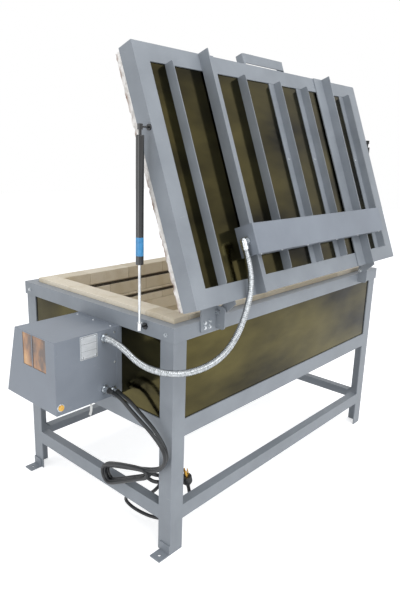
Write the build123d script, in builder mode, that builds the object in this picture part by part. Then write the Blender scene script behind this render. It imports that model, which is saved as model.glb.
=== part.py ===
"""Clamshell glass kiln on an angle-steel stand, drawn at rest with its lid open.

X runs along the body with the control box at +X, Y points to the hinge side, Z is up.
The pieces are drawn about the middle of the body, on the floor, in millimetres.
They are written with the origin midway between the two anchor holes of the foot tabs.
The lid pieces are drawn closed and are turned about the hinge axis before export.
"""

import os
from math import cos, hypot, radians, sin, tan

from build123d import *

os.makedirs("parts", exist_ok=True)

# Steel sections
STEEL = 4.8
LEG_FLANGE = 63.5
RAIL_FLANGE = 38.0
RING_DROP = 54.0
LOW_RAIL_DEPTH = 68.0
STRETCHER_DEPTH = 58.0

# Body frame
BODY_LENGTH = 1524.0
BODY_DEPTH = 914.4
FRAME_TOP = 889.0
LOW_RAIL_BOTTOM = 468.0
STRETCHER_BOTTOM = 128.0

# Foot tabs
TAB_REACH = 55.0
TAB_RISE = 40.0
TAB_WIDTH = 51.0
TAB_HOLE = 12.0

# Sheet, insulation and brick
SHEET = 1.2
BACKING_FLOOR = 38.0
BRICK_WALL = 76.0
BRICK_FLOOR = 76.0
BRICK_PROUD = 16.0
BRICK_LIP = 4.0
BRICK_EASE = 3.0
GROOVE_HEIGHT = 18.0
GROOVE_DEPTH = 18.0
GROOVE_DROPS = (62.0, 148.0)
COIL = 12.0

# Lid
LID_LENGTH = 1499.2
LID_DEPTH = 891.0
LID_FLANGE = 63.5
LID_STEEL = 4.8
LID_TOP = 998.5
LID_REAR = 445.0
SEAL = 8.0
LINING_GAP = 1.0
LINING_SLOTS = 6
LINING_SLOT_WIDTH = 22.0
LINING_SLOT_DEPTH = 20.0
LID_SEAT = 0.3

# Lid ribs
RIB = 38.0
RIB_STEEL = 3.2
RIB_TOE = 8.0
RIB_FACES = (615.0, 222.0, -19.0, -226.0, -612.0)
RIB_SIDES = (-1, -1, 1, 1, 1)
ARM_FLAT = 76.0
ARM_STAND = 44.5
ARM_FACE = 430.0

# Wiring cover
COVER_SIDE_PLUS = 459.0
COVER_SIDE_MINUS = -540.0
COVER_START = 138.0
COVER_WIDTH = 110.0
COVER_HEIGHT = 77.0
COVER_SHEET = 1.6
NOTCH_GAP = 1.5

# Hinge
HINGE_Y = 472.6
HINGE_Z = 909.4
OPEN_ANGLE = 69.08
BOLT = 10.0
BOLT_FIT = 0.05
BOLT_FLATS = 17.0
BOLT_HEAD = 6.4
WASHER = 3.0
WASHER_RADIUS = 10.5
BRACKET_X = 549.0
BRACKET_PLATE = 6.0
BRACKET_FLAT = 79.0
BRACKET_FOOT = 848.0
BRACKET_HEAD = 932.0
BRACKET_REACH = 503.0
LUG_PLATE = 6.0
LUG_NOSE = 14.0
LUG_TOP = 12.0

# Ledge handle
HANDLE_LENGTH = 284.0
HANDLE_SLOT = 13.0
HANDLE_GRIP = 39.0
HANDLE_PLATE = 4.0
HANDLE_DROP = 10.0
HANDLE_SKIRT = 35.0
HANDLE_BEND = 8.0

# Gas struts
STRUT_X = 790.0
STRUT_LOW_Y = 318.0
STRUT_LOW_Z = 867.0
STRUT_UP_ALONG = 607.0
STRUT_UP_BELOW = 11.0
TUBE = 27.0
TUBE_WALL = 2.5
TUBE_LENGTH = 417.0
TUBE_DROP = 25.0
TUBE_END = 8.0
ROD_REACH = 400.0
PISTON = 12.0
ROD = 10.0
ROD_FIT = 0.05
SOCKET = 18.0
SOCKET_LENGTH = 26.0
BALL = 10.0
BALL_GAP = 0.3
STUD = 8.0
STUD_BASE = 22.0
STUD_BASE_HEIGHT = 5.0

# Control box
BOX_SHEET = 1.6
BOX_REAR = 178.0
BOX_BOTTOM = 566.0
BOX_TOP = 834.7
BOX_FRONT_TOP = -70.0
BOX_FRONT_BOTTOM = -145.0
BOX_OUT = 1040.0
BOX_SPLIT = 775.0
BOX_BASE_SHEET = 3.0
BOX_BASE_STEP = 1.2
WINDOW_Y = 52.0
WINDOW_Z = 768.0
WINDOW_WIDTH = 142.0
WINDOW_HEIGHT = 120.0
WINDOW_BAR = 4.0
WINDOW_BAR_Y = 40.0
PANE = 3.0

# Fittings on the control box
FITTING_BASE = 30.0
FITTING_BASE_HEIGHT = 8.0
FITTING_BODY = 26.0
FITTING_REACH = 27.0
CORD_PORT_1 = (835.0, 608.0)
CORD_PORT_2 = (797.0, 590.0)
CONDUIT_PORT = (835.0, 805.0)
LAMP_X = 1022.0
LAMP_Z = 595.0
LAMP = 22.0
LAMP_REACH = 7.0
PLATE_X = 900.0
PLATE_Z = 786.0
PLATE_WIDTH = 74.0
PLATE_HEIGHT = 86.0
PLATE_SHEET = 1.0
TAG_X = 890.0
TAG_INSET = 4.0
TAG_WIDTH = 12.0
TAG_LENGTH = 46.0
TAG_SHEET = 1.0

# Cords and conduit
CORD = 14.0
CONDUIT = 24.0
ELBOW_REACH = 30.0
HANK_X = 782.0
HANK_LOW = (148.0, 226.0)
HANK_HIGH = (360.0, 318.0)
HANK_BIG = 48.0
HANK_SMALL = 20.0
HANK_THICK = 48.0
HANK_EASE = 17.0
PLUG_NECK = 14.0
PLUG_BODY = 42.0
PLUG_LENGTH = 28.0
BLADE_PITCH = 20.0
BLADE_SHEET = 2.0
BLADE_WIDTH = 8.0
BLADE_LENGTH = 30.0

# Values that follow from the sizes above
HX = BODY_LENGTH / 2
HY = BODY_DEPTH / 2
LEG_X = HX - STEEL
LEG_Y = HY - STEEL
PANEL_X = LEG_X - STEEL
PANEL_Y = LEG_Y - STEEL
INNER_X = PANEL_X - SHEET
INNER_Y = PANEL_Y - SHEET
RING_UNDER = FRAME_TOP - STEEL
BRICK_X = HX - RAIL_FLANGE - BRICK_LIP
BRICK_Y = HY - RAIL_FLANGE - BRICK_LIP
CHAMBER_X = BRICK_X - BRICK_WALL
CHAMBER_Y = BRICK_Y - BRICK_WALL
PAN_TOP = LOW_RAIL_BOTTOM + STEEL + SHEET
BACKING_TOP = PAN_TOP + BACKING_FLOOR
FLOOR_TOP = BACKING_TOP + BRICK_FLOOR
BRICK_TOP = FRAME_TOP + BRICK_PROUD
LID_HALF = LID_LENGTH / 2
LID_FRONT = LID_REAR - LID_DEPTH
LID_MID = (LID_REAR + LID_FRONT) / 2
LID_UNDER = LID_TOP - LID_FLANGE
PANEL_TOP = LID_TOP - LID_STEEL
PANEL_UNDER = PANEL_TOP - SHEET
SEAL_UNDER = BRICK_TOP + LID_SEAT
HINGE_AXIS = Axis((0, HINGE_Y, HINGE_Z), (1, 0, 0))
TAB_HOLE_X = LEG_X + (STEEL + TAB_REACH) / 2
ORIGIN = Location((-TAB_HOLE_X, 0, 0))


def save(part, label):
    """Move a finished piece to the origin of the kiln, label it and write it."""
    placed = part.moved(ORIGIN)
    placed.label = label
    export_step(placed, f"parts/{label}.step")


def save_open(part, label):
    """Turn a piece of the lid from closed to its open rest pose, then write it."""
    save(part.rotate(HINGE_AXIS, -OPEN_ANGLE), label)


def group(*parts):
    """Gather like pieces into one group of separate solids."""
    return Compound([solid for part in parts for solid in part.solids()])


def opened(y, z):
    """Give the open place of a point of the closed lid."""
    turn = radians(-OPEN_ANGLE)
    dy = y - HINGE_Y
    dz = z - HINGE_Z
    return HINGE_Y + dy * cos(turn) - dz * sin(turn), HINGE_Z + dy * sin(turn) + dz * cos(turn)


# Legs: equal angles standing inside the top ring
leg_corners = {
    "leg_right_front": (1, -1),
    "leg_right_rear": (1, 1),
    "leg_left_front": (-1, -1),
    "leg_left_rear": (-1, 1),
}
for leg_name, (leg_sx, leg_sy) in leg_corners.items():
    with BuildPart() as leg:
        with BuildSketch():
            with Locations((leg_sx * LEG_X, leg_sy * LEG_Y)):
                Rectangle(LEG_FLANGE, LEG_FLANGE, align=(
                    Align.MAX if leg_sx > 0 else Align.MIN,
                    Align.MAX if leg_sy > 0 else Align.MIN,
                ))
            with Locations((leg_sx * PANEL_X, leg_sy * PANEL_Y)):
                Rectangle(LEG_FLANGE, LEG_FLANGE, mode=Mode.SUBTRACT, align=(
                    Align.MAX if leg_sx > 0 else Align.MIN,
                    Align.MAX if leg_sy > 0 else Align.MIN,
                ))
        extrude(amount=RING_UNDER)
        outer_corner = leg.edges().filter_by(Axis.Z).sort_by(
            lambda edge: -leg_sx * edge.center().X - leg_sy * edge.center().Y)[0]
        fillet(outer_corner, radius=1.5)
    save(leg.part, leg_name)

# Foot tabs: short angles on the outside of the two legs at the control end
TAB_Y = LEG_Y - TAB_WIDTH / 2
with BuildPart() as foot_tabs:
    with BuildSketch(Plane.XZ) as tab_profile:
        with Locations((LEG_X, 0)):
            Rectangle(TAB_REACH, STEEL, align=(Align.MIN, Align.MIN))
            Rectangle(STEEL, TAB_RISE, align=(Align.MIN, Align.MIN))
    extrude(amount=TAB_WIDTH / 2, both=True)
    with Locations((TAB_HOLE_X, 0, STEEL)):
        Hole(radius=TAB_HOLE / 2, depth=STEEL)
tab_pair = group(*[
    foot_tabs.part.moved(Location((0, side * TAB_Y, 0))) for side in (-1, 1)
])
save(tab_pair, "foot_tabs")


def rail_profile(drop, flange, top):
    """Draw an angle section, its vertical face on x=0 and its body towards -x."""
    Rectangle(STEEL, drop, align=(Align.MAX, Align.MAX if top else Align.MIN))
    Rectangle(flange, STEEL, align=(Align.MAX, Align.MAX if top else Align.MIN))


# Top ring: four angles mitred at the corners, a pair for the ends and a pair for the sides
for ring_name, ring_off, ring_half, ring_turn in (
    ("top_rails_end", HX, HY, 0),
    ("top_rails_side", HY, HX, 90),
):
    with BuildPart() as top_rail:
        with BuildSketch(Plane.XZ):
            with Locations((ring_off, FRAME_TOP)):
                rail_profile(RING_DROP, RAIL_FLANGE, True)
        extrude(amount=ring_half, both=True)
        with BuildSketch(Plane.XY.offset(FRAME_TOP)):
            for ring_end in (-1, 1):
                with BuildLine():
                    Polyline(
                        (ring_off, ring_end * ring_half),
                        (ring_off - ring_half, 0),
                        (ring_off - ring_half, ring_end * ring_half),
                        close=True,
                    )
                make_face()
        extrude(amount=-RING_DROP, mode=Mode.SUBTRACT)
    save(group(*[top_rail.part.rotate(Axis.Z, ring_turn + half) for half in (0, 180)]), ring_name)

# Bottom ring: angles between the legs, their flat legs inward and carrying the pan
between_legs = (
    ("end", LEG_X, LEG_Y - LEG_FLANGE, 0),
    ("side", LEG_Y, LEG_X - LEG_FLANGE, 90),
)
for low_name, low_off, low_half, low_turn in between_legs:
    with BuildPart() as low_rail:
        with BuildSketch(Plane.XZ):
            with Locations((low_off, LOW_RAIL_BOTTOM)):
                rail_profile(LOW_RAIL_DEPTH, RAIL_FLANGE, False)
        extrude(amount=low_half, both=True)
    low_pair = [low_rail.part.rotate(Axis.Z, low_turn + half) for half in (0, 180)]
    save(group(*low_pair), f"low_rails_{low_name}")

# Low stretchers: the same angle turned over, flat leg on top
for low_name, low_off, low_half, low_turn in between_legs:
    with BuildPart() as stretcher:
        with BuildSketch(Plane.XZ):
            with Locations((low_off, STRETCHER_BOTTOM + STRETCHER_DEPTH)):
                rail_profile(STRETCHER_DEPTH, RAIL_FLANGE, True)
        extrude(amount=low_half, both=True)
    low_pair = [stretcher.part.rotate(Axis.Z, low_turn + half) for half in (0, 180)]
    save(group(*low_pair), f"stretchers_{low_name}")

# Bright sheet panels behind the legs and rails
PANEL_FOOT = LOW_RAIL_BOTTOM + STEEL
with BuildPart() as end_panels:
    with BuildSketch(Plane.XY.offset(PANEL_FOOT)):
        with GridLocations(2 * PANEL_X - SHEET, 1, 2, 1):
            Rectangle(SHEET, 2 * PANEL_Y)
    extrude(amount=RING_UNDER - PANEL_FOOT)
save(end_panels.part, "panels_end")
with BuildPart() as side_panels:
    with BuildSketch(Plane.XY.offset(PANEL_FOOT)):
        with GridLocations(1, 2 * PANEL_Y - SHEET, 1, 2):
            Rectangle(2 * INNER_X, SHEET)
    extrude(amount=RING_UNDER - PANEL_FOOT)
save(side_panels.part, "panels_side")

# Floor pan on the flat legs of the bottom ring
with BuildPart() as floor_pan:
    with BuildSketch(Plane.XY.offset(PANEL_FOOT)):
        Rectangle(2 * INNER_X, 2 * INNER_Y)
    extrude(amount=SHEET)
save(floor_pan.part, "floor_pan")

# Backing insulation: a tray between the panels and the brick
with BuildPart() as backing:
    with BuildSketch(Plane.XY.offset(PAN_TOP)):
        Rectangle(2 * INNER_X, 2 * INNER_Y)
    extrude(amount=RING_UNDER - PAN_TOP)
    with BuildSketch(Plane.XY.offset(BACKING_TOP)):
        Rectangle(2 * BRICK_X, 2 * BRICK_Y)
    extrude(amount=RING_UNDER - BACKING_TOP, mode=Mode.SUBTRACT)
save(backing.part, "backing_insulation")

# Brick floor
with BuildPart() as brick_floor:
    with BuildSketch(Plane.XY.offset(BACKING_TOP)):
        Rectangle(2 * BRICK_X, 2 * BRICK_Y)
    extrude(amount=BRICK_FLOOR)
save(brick_floor.part, "brick_floor")

# Brick walls with two grooves for the elements; the end walls run full depth
for wall_name, wall_off, wall_half, groove_half, wall_turn in (
    ("brick_walls_end", BRICK_X, BRICK_Y, CHAMBER_Y + GROOVE_DEPTH, 0),
    ("brick_walls_side", BRICK_Y, CHAMBER_X, CHAMBER_X, 90),
):
    with BuildPart() as brick_wall:
        with BuildSketch(Plane.XY.offset(FLOOR_TOP)):
            with Locations((wall_off - BRICK_WALL / 2, 0)):
                Rectangle(BRICK_WALL, 2 * wall_half)
        extrude(amount=BRICK_TOP - FLOOR_TOP)
        rim_edges = brick_wall.edges().filter_by(Axis.Y).group_by(Axis.Z)[-1]
        chamfer(rim_edges, length=BRICK_EASE)
        with BuildSketch(Plane.XZ) as groove_profile:
            for groove_drop in GROOVE_DROPS:
                with Locations((wall_off - BRICK_WALL, BRICK_TOP - groove_drop)):
                    Rectangle(GROOVE_DEPTH, GROOVE_HEIGHT, align=(Align.MIN, Align.CENTER))
        extrude(amount=groove_half, both=True, mode=Mode.SUBTRACT)
    save(group(*[brick_wall.part.rotate(Axis.Z, wall_turn + half) for half in (0, 180)]), wall_name)

# Wall elements: a closed run of coil in each groove, resting on the groove floor
COIL_X = CHAMBER_X + GROOVE_DEPTH / 2
COIL_Y = CHAMBER_Y + GROOVE_DEPTH / 2
coil_rings = []
for groove_drop in GROOVE_DROPS:
    coil_z = BRICK_TOP - groove_drop - GROOVE_HEIGHT / 2 + COIL / 2
    with BuildPart() as wall_coil:
        with BuildLine() as coil_path:
            FilletPolyline(
                (0, -COIL_Y, coil_z),
                (COIL_X, -COIL_Y, coil_z),
                (COIL_X, COIL_Y, coil_z),
                (-COIL_X, COIL_Y, coil_z),
                (-COIL_X, -COIL_Y, coil_z),
                (-1, -COIL_Y, coil_z),
                radius=COIL,
            )
        with BuildSketch(Plane(origin=(0, -COIL_Y, coil_z), z_dir=(1, 0, 0))):
            Circle(COIL / 2)
        sweep()
    coil_rings.append(wall_coil.part)
save(group(*coil_rings), "wall_elements")

# Hinge brackets: an angle on the rear rail, its plate carries the bolt
brackets = []
for bracket_side in (1, -1):
    with BuildPart() as bracket:
        with BuildSketch(Plane.XY.offset(BRACKET_FOOT)):
            with Locations((bracket_side * BRACKET_X, HY)):
                bracket_align = Align.MIN if bracket_side > 0 else Align.MAX
                Rectangle(BRACKET_FLAT + BRACKET_PLATE, BRACKET_PLATE, align=(bracket_align, Align.MIN))
                Rectangle(BRACKET_PLATE, BRACKET_REACH - HY, align=(bracket_align, Align.MIN))
        extrude(amount=BRACKET_HEAD - BRACKET_FOOT)
        plate_corners = bracket.edges().filter_by(Axis.X).group_by(Axis.Y)[-1]
        fillet(plate_corners, radius=12)
        flat_corners = bracket.edges().filter_by(Axis.Y).sort_by(
            lambda edge: -bracket_side * edge.center().X)[0:2]
        fillet(flat_corners, radius=6)
        with BuildSketch(Plane.YZ):
            with Locations((HINGE_Y, HINGE_Z)):
                Circle(BOLT / 2 + BOLT_FIT)
        extrude(amount=HX, both=True, mode=Mode.SUBTRACT)
    brackets.append(bracket.part)
save(group(*brackets), "hinge_brackets")

# Hinge bolts, each with its head outside, a washer between plate and lug, and a nut
hinge_bolts = []
LUG_OUTER = BRACKET_X - WASHER
for bolt_side in (1, -1):
    out = Plane(origin=(bolt_side * (BRACKET_X + BRACKET_PLATE), HINGE_Y, HINGE_Z),
                x_dir=(0, 1, 0), z_dir=(bolt_side, 0, 0))
    shank_length = BRACKET_PLATE + WASHER + LUG_PLATE + 2 * BOLT_HEAD
    with BuildPart() as hinge_bolt:
        with BuildSketch(out):
            RegularPolygon(radius=BOLT_FLATS / 2, side_count=6, major_radius=False, rotation=30)
        extrude(amount=BOLT_HEAD)
        with BuildSketch(out):
            Circle(BOLT / 2)
        extrude(amount=-shank_length)
        chamfer(hinge_bolt.edges().filter_by(GeomType.CIRCLE).sort_by(
            lambda edge: bolt_side * edge.center().X)[0], length=1)
        with BuildSketch(out.offset(-BRACKET_PLATE)):
            Circle(WASHER_RADIUS)
        extrude(amount=-(WASHER - BOLT_FIT))
        with BuildSketch(out.offset(-(BRACKET_PLATE + WASHER + LUG_PLATE + BOLT_FIT))):
            RegularPolygon(radius=BOLT_FLATS / 2, side_count=6, major_radius=False, rotation=30)
        extrude(amount=-BOLT_HEAD)
    hinge_bolts.append(hinge_bolt.part)
save(group(*hinge_bolts), "hinge_bolts")

# Lid frame: four angles mitred at the corners, flat leg on top
for lid_name, lid_off, lid_half, lid_turn in (
    ("lid_frame_ends", LID_HALF, LID_DEPTH / 2, 0),
    ("lid_frame_sides", LID_DEPTH / 2, LID_HALF, 90),
):
    with BuildPart() as lid_member:
        with BuildSketch(Plane.XZ):
            with Locations((lid_off, LID_TOP)):
                Rectangle(LID_STEEL, LID_FLANGE, align=(Align.MAX, Align.MAX))
                Rectangle(LID_FLANGE, LID_STEEL, align=(Align.MAX, Align.MAX))
        extrude(amount=lid_half, both=True)
        with BuildSketch(Plane.XY.offset(LID_TOP)):
            for lid_end in (-1, 1):
                with BuildLine():
                    Polyline(
                        (lid_off, lid_end * lid_half),
                        (lid_off - lid_half, 0),
                        (lid_off - lid_half, lid_end * lid_half),
                        close=True,
                    )
                make_face()
        extrude(amount=-LID_FLANGE, mode=Mode.SUBTRACT)
    lid_pair = [
        lid_member.part.rotate(Axis.Z, lid_turn + half).moved(Location((0, LID_MID, 0)))
        for half in (0, 180)
    ]
    save_open(group(*lid_pair), lid_name)

# Lid panel under the flat legs
with BuildPart() as lid_panel:
    with BuildSketch(Plane.XY.offset(PANEL_UNDER)):
        with Locations((0, LID_MID)):
            Rectangle(LID_LENGTH - 2 * LID_STEEL, LID_DEPTH - 2 * LID_STEEL)
    extrude(amount=SHEET)
save_open(lid_panel.part, "lid_panel")

# Fibre lining with slots for the lid elements
LINING_UNDER = SEAL_UNDER + SEAL
slot_pitch = 2 * CHAMBER_Y / LINING_SLOTS
with BuildPart() as lid_lining:
    with BuildSketch(Plane.XY.offset(LINING_UNDER)):
        with Locations((0, LID_MID)):
            Rectangle(
                LID_LENGTH - 2 * LID_STEEL - 2 * LINING_GAP,
                LID_DEPTH - 2 * LID_STEEL - 2 * LINING_GAP,
            )
    extrude(amount=PANEL_UNDER - LINING_UNDER)
    with BuildSketch(Plane.XY.offset(LINING_UNDER)):
        with GridLocations(1, slot_pitch, 1, LINING_SLOTS):
            Rectangle(2 * CHAMBER_X, LINING_SLOT_WIDTH)
    extrude(amount=LINING_SLOT_DEPTH, mode=Mode.SUBTRACT)
save_open(lid_lining.part, "lid_lining")

# Seal layer: four strips of fibre that close on the brick rim
SEAL_X = LID_HALF - LID_STEEL - LINING_GAP
SEAL_REAR = LID_REAR - LID_STEEL - LINING_GAP
SEAL_FRONT = LID_FRONT + LID_STEEL + LINING_GAP
with BuildPart() as lid_seal:
    with BuildSketch(Plane.XY.offset(SEAL_UNDER)):
        with Locations((0, CHAMBER_Y)):
            Rectangle(2 * SEAL_X, SEAL_REAR - CHAMBER_Y, align=(Align.CENTER, Align.MIN))
        with Locations((0, -CHAMBER_Y)):
            Rectangle(2 * SEAL_X, -SEAL_FRONT - CHAMBER_Y, align=(Align.CENTER, Align.MAX))
    extrude(amount=SEAL)
with BuildPart() as lid_seal_ends:
    with BuildSketch(Plane.XY.offset(SEAL_UNDER)):
        with GridLocations(SEAL_X + CHAMBER_X, 1, 2, 1):
            Rectangle(SEAL_X - CHAMBER_X, 2 * CHAMBER_Y)
    extrude(amount=SEAL)
save_open(group(lid_seal.part, lid_seal_ends.part), "lid_seal")

# Lid elements: a straight run of coil in each slot
LID_COIL_Z = LINING_UNDER + LINING_SLOT_DEPTH - COIL / 2
with BuildPart() as lid_elements:
    with BuildSketch(Plane.YZ.offset(-CHAMBER_X + COIL)):
        with Locations((0, LID_COIL_Z)):
            with GridLocations(slot_pitch, 1, LINING_SLOTS, 1):
                Circle(COIL / 2)
    extrude(amount=2 * CHAMBER_X - 2 * COIL)
save_open(lid_elements.part, "lid_elements")

# Short ribs: small angles standing on the panel between the frame members
short_ribs = []
for rib_face, rib_side in zip(RIB_FACES, RIB_SIDES):
    with BuildPart() as rib:
        with BuildSketch(Plane.XZ.offset(-(LID_REAR - LID_FLANGE))):
            with Locations((rib_face, PANEL_TOP)):
                rib_align = Align.MIN if rib_side > 0 else Align.MAX
                Rectangle(RIB_STEEL, RIB, align=(rib_align, Align.MIN))
                Rectangle(RIB, RIB_STEEL, align=(rib_align, Align.MIN))
        extrude(amount=LID_DEPTH - 2 * LID_FLANGE)
        toe_corners = rib.edges().filter_by(Axis.X).group_by(Axis.Z)[-1]
        fillet(toe_corners, radius=RIB_TOE)
    short_ribs.append(rib.part)
save_open(group(*short_ribs), "lid_short_ribs")

# Long ribs: heavier angles lying on the frame over the whole depth
long_ribs = []
for arm_side in (1, -1):
    with BuildPart() as arm:
        with BuildSketch(Plane.XZ.offset(-LID_REAR)):
            with Locations((arm_side * ARM_FACE, LID_TOP)):
                arm_align = Align.MAX if arm_side > 0 else Align.MIN
                Rectangle(STEEL, ARM_STAND, align=(arm_align, Align.MIN))
                Rectangle(ARM_FLAT, STEEL, align=(arm_align, Align.MIN))
        extrude(amount=LID_DEPTH)
    long_ribs.append(arm.part)
save_open(group(*long_ribs), "lid_long_ribs")

# Wiring cover: a folded box over the ribs, its walls notched round them
COVER_REAR = LID_REAR - COVER_START
COVER_FRONT = COVER_REAR - COVER_WIDTH
COVER_TOP = LID_TOP + COVER_HEIGHT
cover_mid_x = (COVER_SIDE_PLUS + COVER_SIDE_MINUS) / 2
cover_length = COVER_SIDE_PLUS - COVER_SIDE_MINUS
with BuildPart() as cover:
    with BuildSketch(Plane.XY.offset(PANEL_TOP)):
        with Locations((cover_mid_x, (COVER_REAR + COVER_FRONT) / 2)):
            Rectangle(cover_length, COVER_WIDTH)
    extrude(amount=COVER_TOP - PANEL_TOP)
    fillet(cover.edges().group_by(Axis.Z)[-1], radius=3)
    offset(amount=-COVER_SHEET, openings=cover.faces().filter_by(Axis.Z).sort_by(Axis.Z)[0])
    with BuildSketch(Plane.XZ.offset(-COVER_REAR - 1)):
        for rib_face, rib_side in zip(RIB_FACES, RIB_SIDES):
            if COVER_SIDE_MINUS < rib_face < COVER_SIDE_PLUS:
                with Locations((rib_face + rib_side * RIB / 2, PANEL_TOP)):
                    Rectangle(RIB + 2 * NOTCH_GAP, RIB_STEEL + NOTCH_GAP, align=(Align.CENTER, Align.MIN))
                with Locations((rib_face + rib_side * RIB_STEEL / 2, PANEL_TOP)):
                    Rectangle(RIB_STEEL + 2 * NOTCH_GAP, RIB + NOTCH_GAP, align=(Align.CENTER, Align.MIN))
        for arm_side in (1, -1):
            with Locations((arm_side * (ARM_FACE - ARM_FLAT / 2), PANEL_TOP)):
                Rectangle(ARM_FLAT + 2 * NOTCH_GAP, 2 * STEEL + NOTCH_GAP, align=(Align.CENTER, Align.MIN))
            with Locations((arm_side * (ARM_FACE - STEEL / 2), PANEL_TOP)):
                Rectangle(
                    STEEL + 2 * NOTCH_GAP,
                    STEEL + ARM_STAND + NOTCH_GAP,
                    align=(Align.CENTER, Align.MIN),
                )
    extrude(amount=COVER_WIDTH + 2, mode=Mode.SUBTRACT)
save_open(cover.part, "wiring_cover")

# Elbow connector on the end of the wiring cover, its outlet towards the hinge
COVER_PORT_Y = (COVER_REAR + COVER_FRONT) / 2
COVER_PORT_Z = LID_TOP + COVER_HEIGHT / 2
ELBOW_X = COVER_SIDE_PLUS + FITTING_BASE_HEIGHT + FITTING_BODY / 2
with BuildPart() as cover_connector:
    with BuildSketch(Plane(origin=(COVER_SIDE_PLUS, COVER_PORT_Y, COVER_PORT_Z), z_dir=(1, 0, 0))):
        RegularPolygon(radius=FITTING_BASE / 2, side_count=6, major_radius=False)
    extrude(amount=FITTING_BASE_HEIGHT)
    with BuildSketch(Plane(origin=(COVER_SIDE_PLUS, COVER_PORT_Y, COVER_PORT_Z), z_dir=(1, 0, 0))):
        Circle(FITTING_BODY / 2 - 1)
    extrude(amount=FITTING_BASE_HEIGHT + FITTING_BODY / 2)
    with Locations((ELBOW_X, COVER_PORT_Y, COVER_PORT_Z)):
        Sphere(FITTING_BODY / 2)
    with BuildSketch(Plane.XZ.offset(-COVER_PORT_Y)):
        with Locations((ELBOW_X, COVER_PORT_Z)):
            Circle(FITTING_BODY / 2)
    extrude(amount=-ELBOW_REACH)
save_open(cover_connector.part, "cover_connector")

# Hinge lugs on the rear member of the lid
lugs = []
for lug_side in (1, -1):
    with BuildPart() as lug:
        with BuildSketch(Plane.YZ.offset(lug_side * (LUG_OUTER - LUG_PLATE / 2))):
            with BuildLine():
                Polyline(
                    (LID_REAR, LID_TOP - LUG_TOP),
                    (LID_REAR, LID_UNDER + 3),
                    (HINGE_Y - LUG_NOSE, HINGE_Z),
                    (HINGE_Y + LUG_NOSE, HINGE_Z),
                    (HINGE_Y + LUG_NOSE, HINGE_Z + LUG_NOSE),
                    (LID_REAR + 14, LID_TOP - LUG_TOP),
                    close=True,
                )
            make_face()
            with Locations((HINGE_Y, HINGE_Z)):
                Circle(LUG_NOSE)
                Circle(BOLT / 2 + BOLT_FIT, mode=Mode.SUBTRACT)
        extrude(amount=LUG_PLATE / 2, both=True)
    lugs.append(lug.part)
save_open(group(*lugs), "hinge_lugs")

# Ledge handle: a grip plate off the front edge on two folded end legs
GRIP_TOP = LID_TOP - HANDLE_DROP
GRIP_FRONT = LID_FRONT - HANDLE_SLOT - HANDLE_GRIP
with BuildPart() as handle:
    with BuildSketch(Plane.XZ.offset(-LID_FRONT)):
        with Locations((0, GRIP_TOP)):
            Rectangle(HANDLE_LENGTH, HANDLE_SKIRT, align=(Align.CENTER, Align.MAX))
    extrude(amount=HANDLE_SLOT + HANDLE_GRIP)
    fillet(handle.edges().filter_by(Axis.Y).group_by(Axis.Z)[-1], radius=HANDLE_BEND)
    with BuildSketch(Plane.XZ.offset(-LID_FRONT)):
        with Locations((0, GRIP_TOP - HANDLE_PLATE)):
            Rectangle(
                HANDLE_LENGTH - 2 * HANDLE_PLATE,
                HANDLE_SKIRT,
                align=(Align.CENTER, Align.MAX),
            )
    extrude(amount=HANDLE_SLOT + HANDLE_GRIP, mode=Mode.SUBTRACT)
    with BuildSketch(Plane.XY.offset(GRIP_TOP)):
        with Locations((0, LID_FRONT)):
            Rectangle(
                HANDLE_LENGTH - 2 * HANDLE_BEND,
                HANDLE_SLOT,
                align=(Align.CENTER, Align.MAX),
            )
    extrude(amount=-HANDLE_PLATE, mode=Mode.SUBTRACT)
save_open(handle.part, "lid_handle")


def fitting(plane):
    """Screw-in fitting: a hexagon base and a round body standing on the given plane."""
    with BuildPart() as piece:
        with BuildSketch(plane):
            RegularPolygon(radius=FITTING_BASE / 2, side_count=6, major_radius=False)
        extrude(amount=FITTING_BASE_HEIGHT)
        with BuildSketch(plane.offset(FITTING_BASE_HEIGHT)):
            Circle(FITTING_BODY / 2)
        extrude(amount=FITTING_REACH - FITTING_BASE_HEIGHT)
    return piece.part


# Gas struts, one at each end of the kiln
STRUT_CLOSED_Y = LID_REAR - STRUT_UP_ALONG
STRUT_CLOSED_Z = LID_TOP - STRUT_UP_BELOW
STRUT_OPEN_Y, STRUT_OPEN_Z = opened(STRUT_CLOSED_Y, STRUT_CLOSED_Z)
STRUT_OPEN = hypot(STRUT_OPEN_Y - STRUT_LOW_Y, STRUT_OPEN_Z - STRUT_LOW_Z)
STUD_END = STRUT_X - SOCKET / 2 - BALL_GAP
low_ball = (STRUT_X, STRUT_LOW_Y, STRUT_LOW_Z)
high_ball = (STRUT_X, STRUT_OPEN_Y, STRUT_OPEN_Z)
along = Plane(origin=low_ball, x_dir=(1, 0, 0), z_dir=Vector(*high_ball) - Vector(*low_ball))


def both_ends(part):
    """Give a piece of the right strut and its mirror image at the left end."""
    return group(part, mirror(part, about=Plane.YZ))


def save_struts(part, name):
    """Write a piece of the right strut and its mirror image at the left end."""
    save(part, f"{name}_right")
    save(mirror(part, about=Plane.YZ), f"{name}_left")


# Lower studs on the end rails, each with its ball
rail_side = Plane.YZ.offset(HX)
with BuildPart() as lower_stud:
    with BuildSketch(rail_side):
        with Locations((STRUT_LOW_Y, STRUT_LOW_Z)):
            RegularPolygon(radius=STUD_BASE / 2, side_count=6, major_radius=False)
    extrude(amount=STUD_BASE_HEIGHT)
    with BuildSketch(rail_side):
        with Locations((STRUT_LOW_Y, STRUT_LOW_Z)):
            Circle(STUD / 2 - 1)
    extrude(amount=STRUT_X - HX)
    with Locations(low_ball):
        Sphere(BALL / 2)
save(both_ends(lower_stud.part), "strut_studs_lower")

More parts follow.
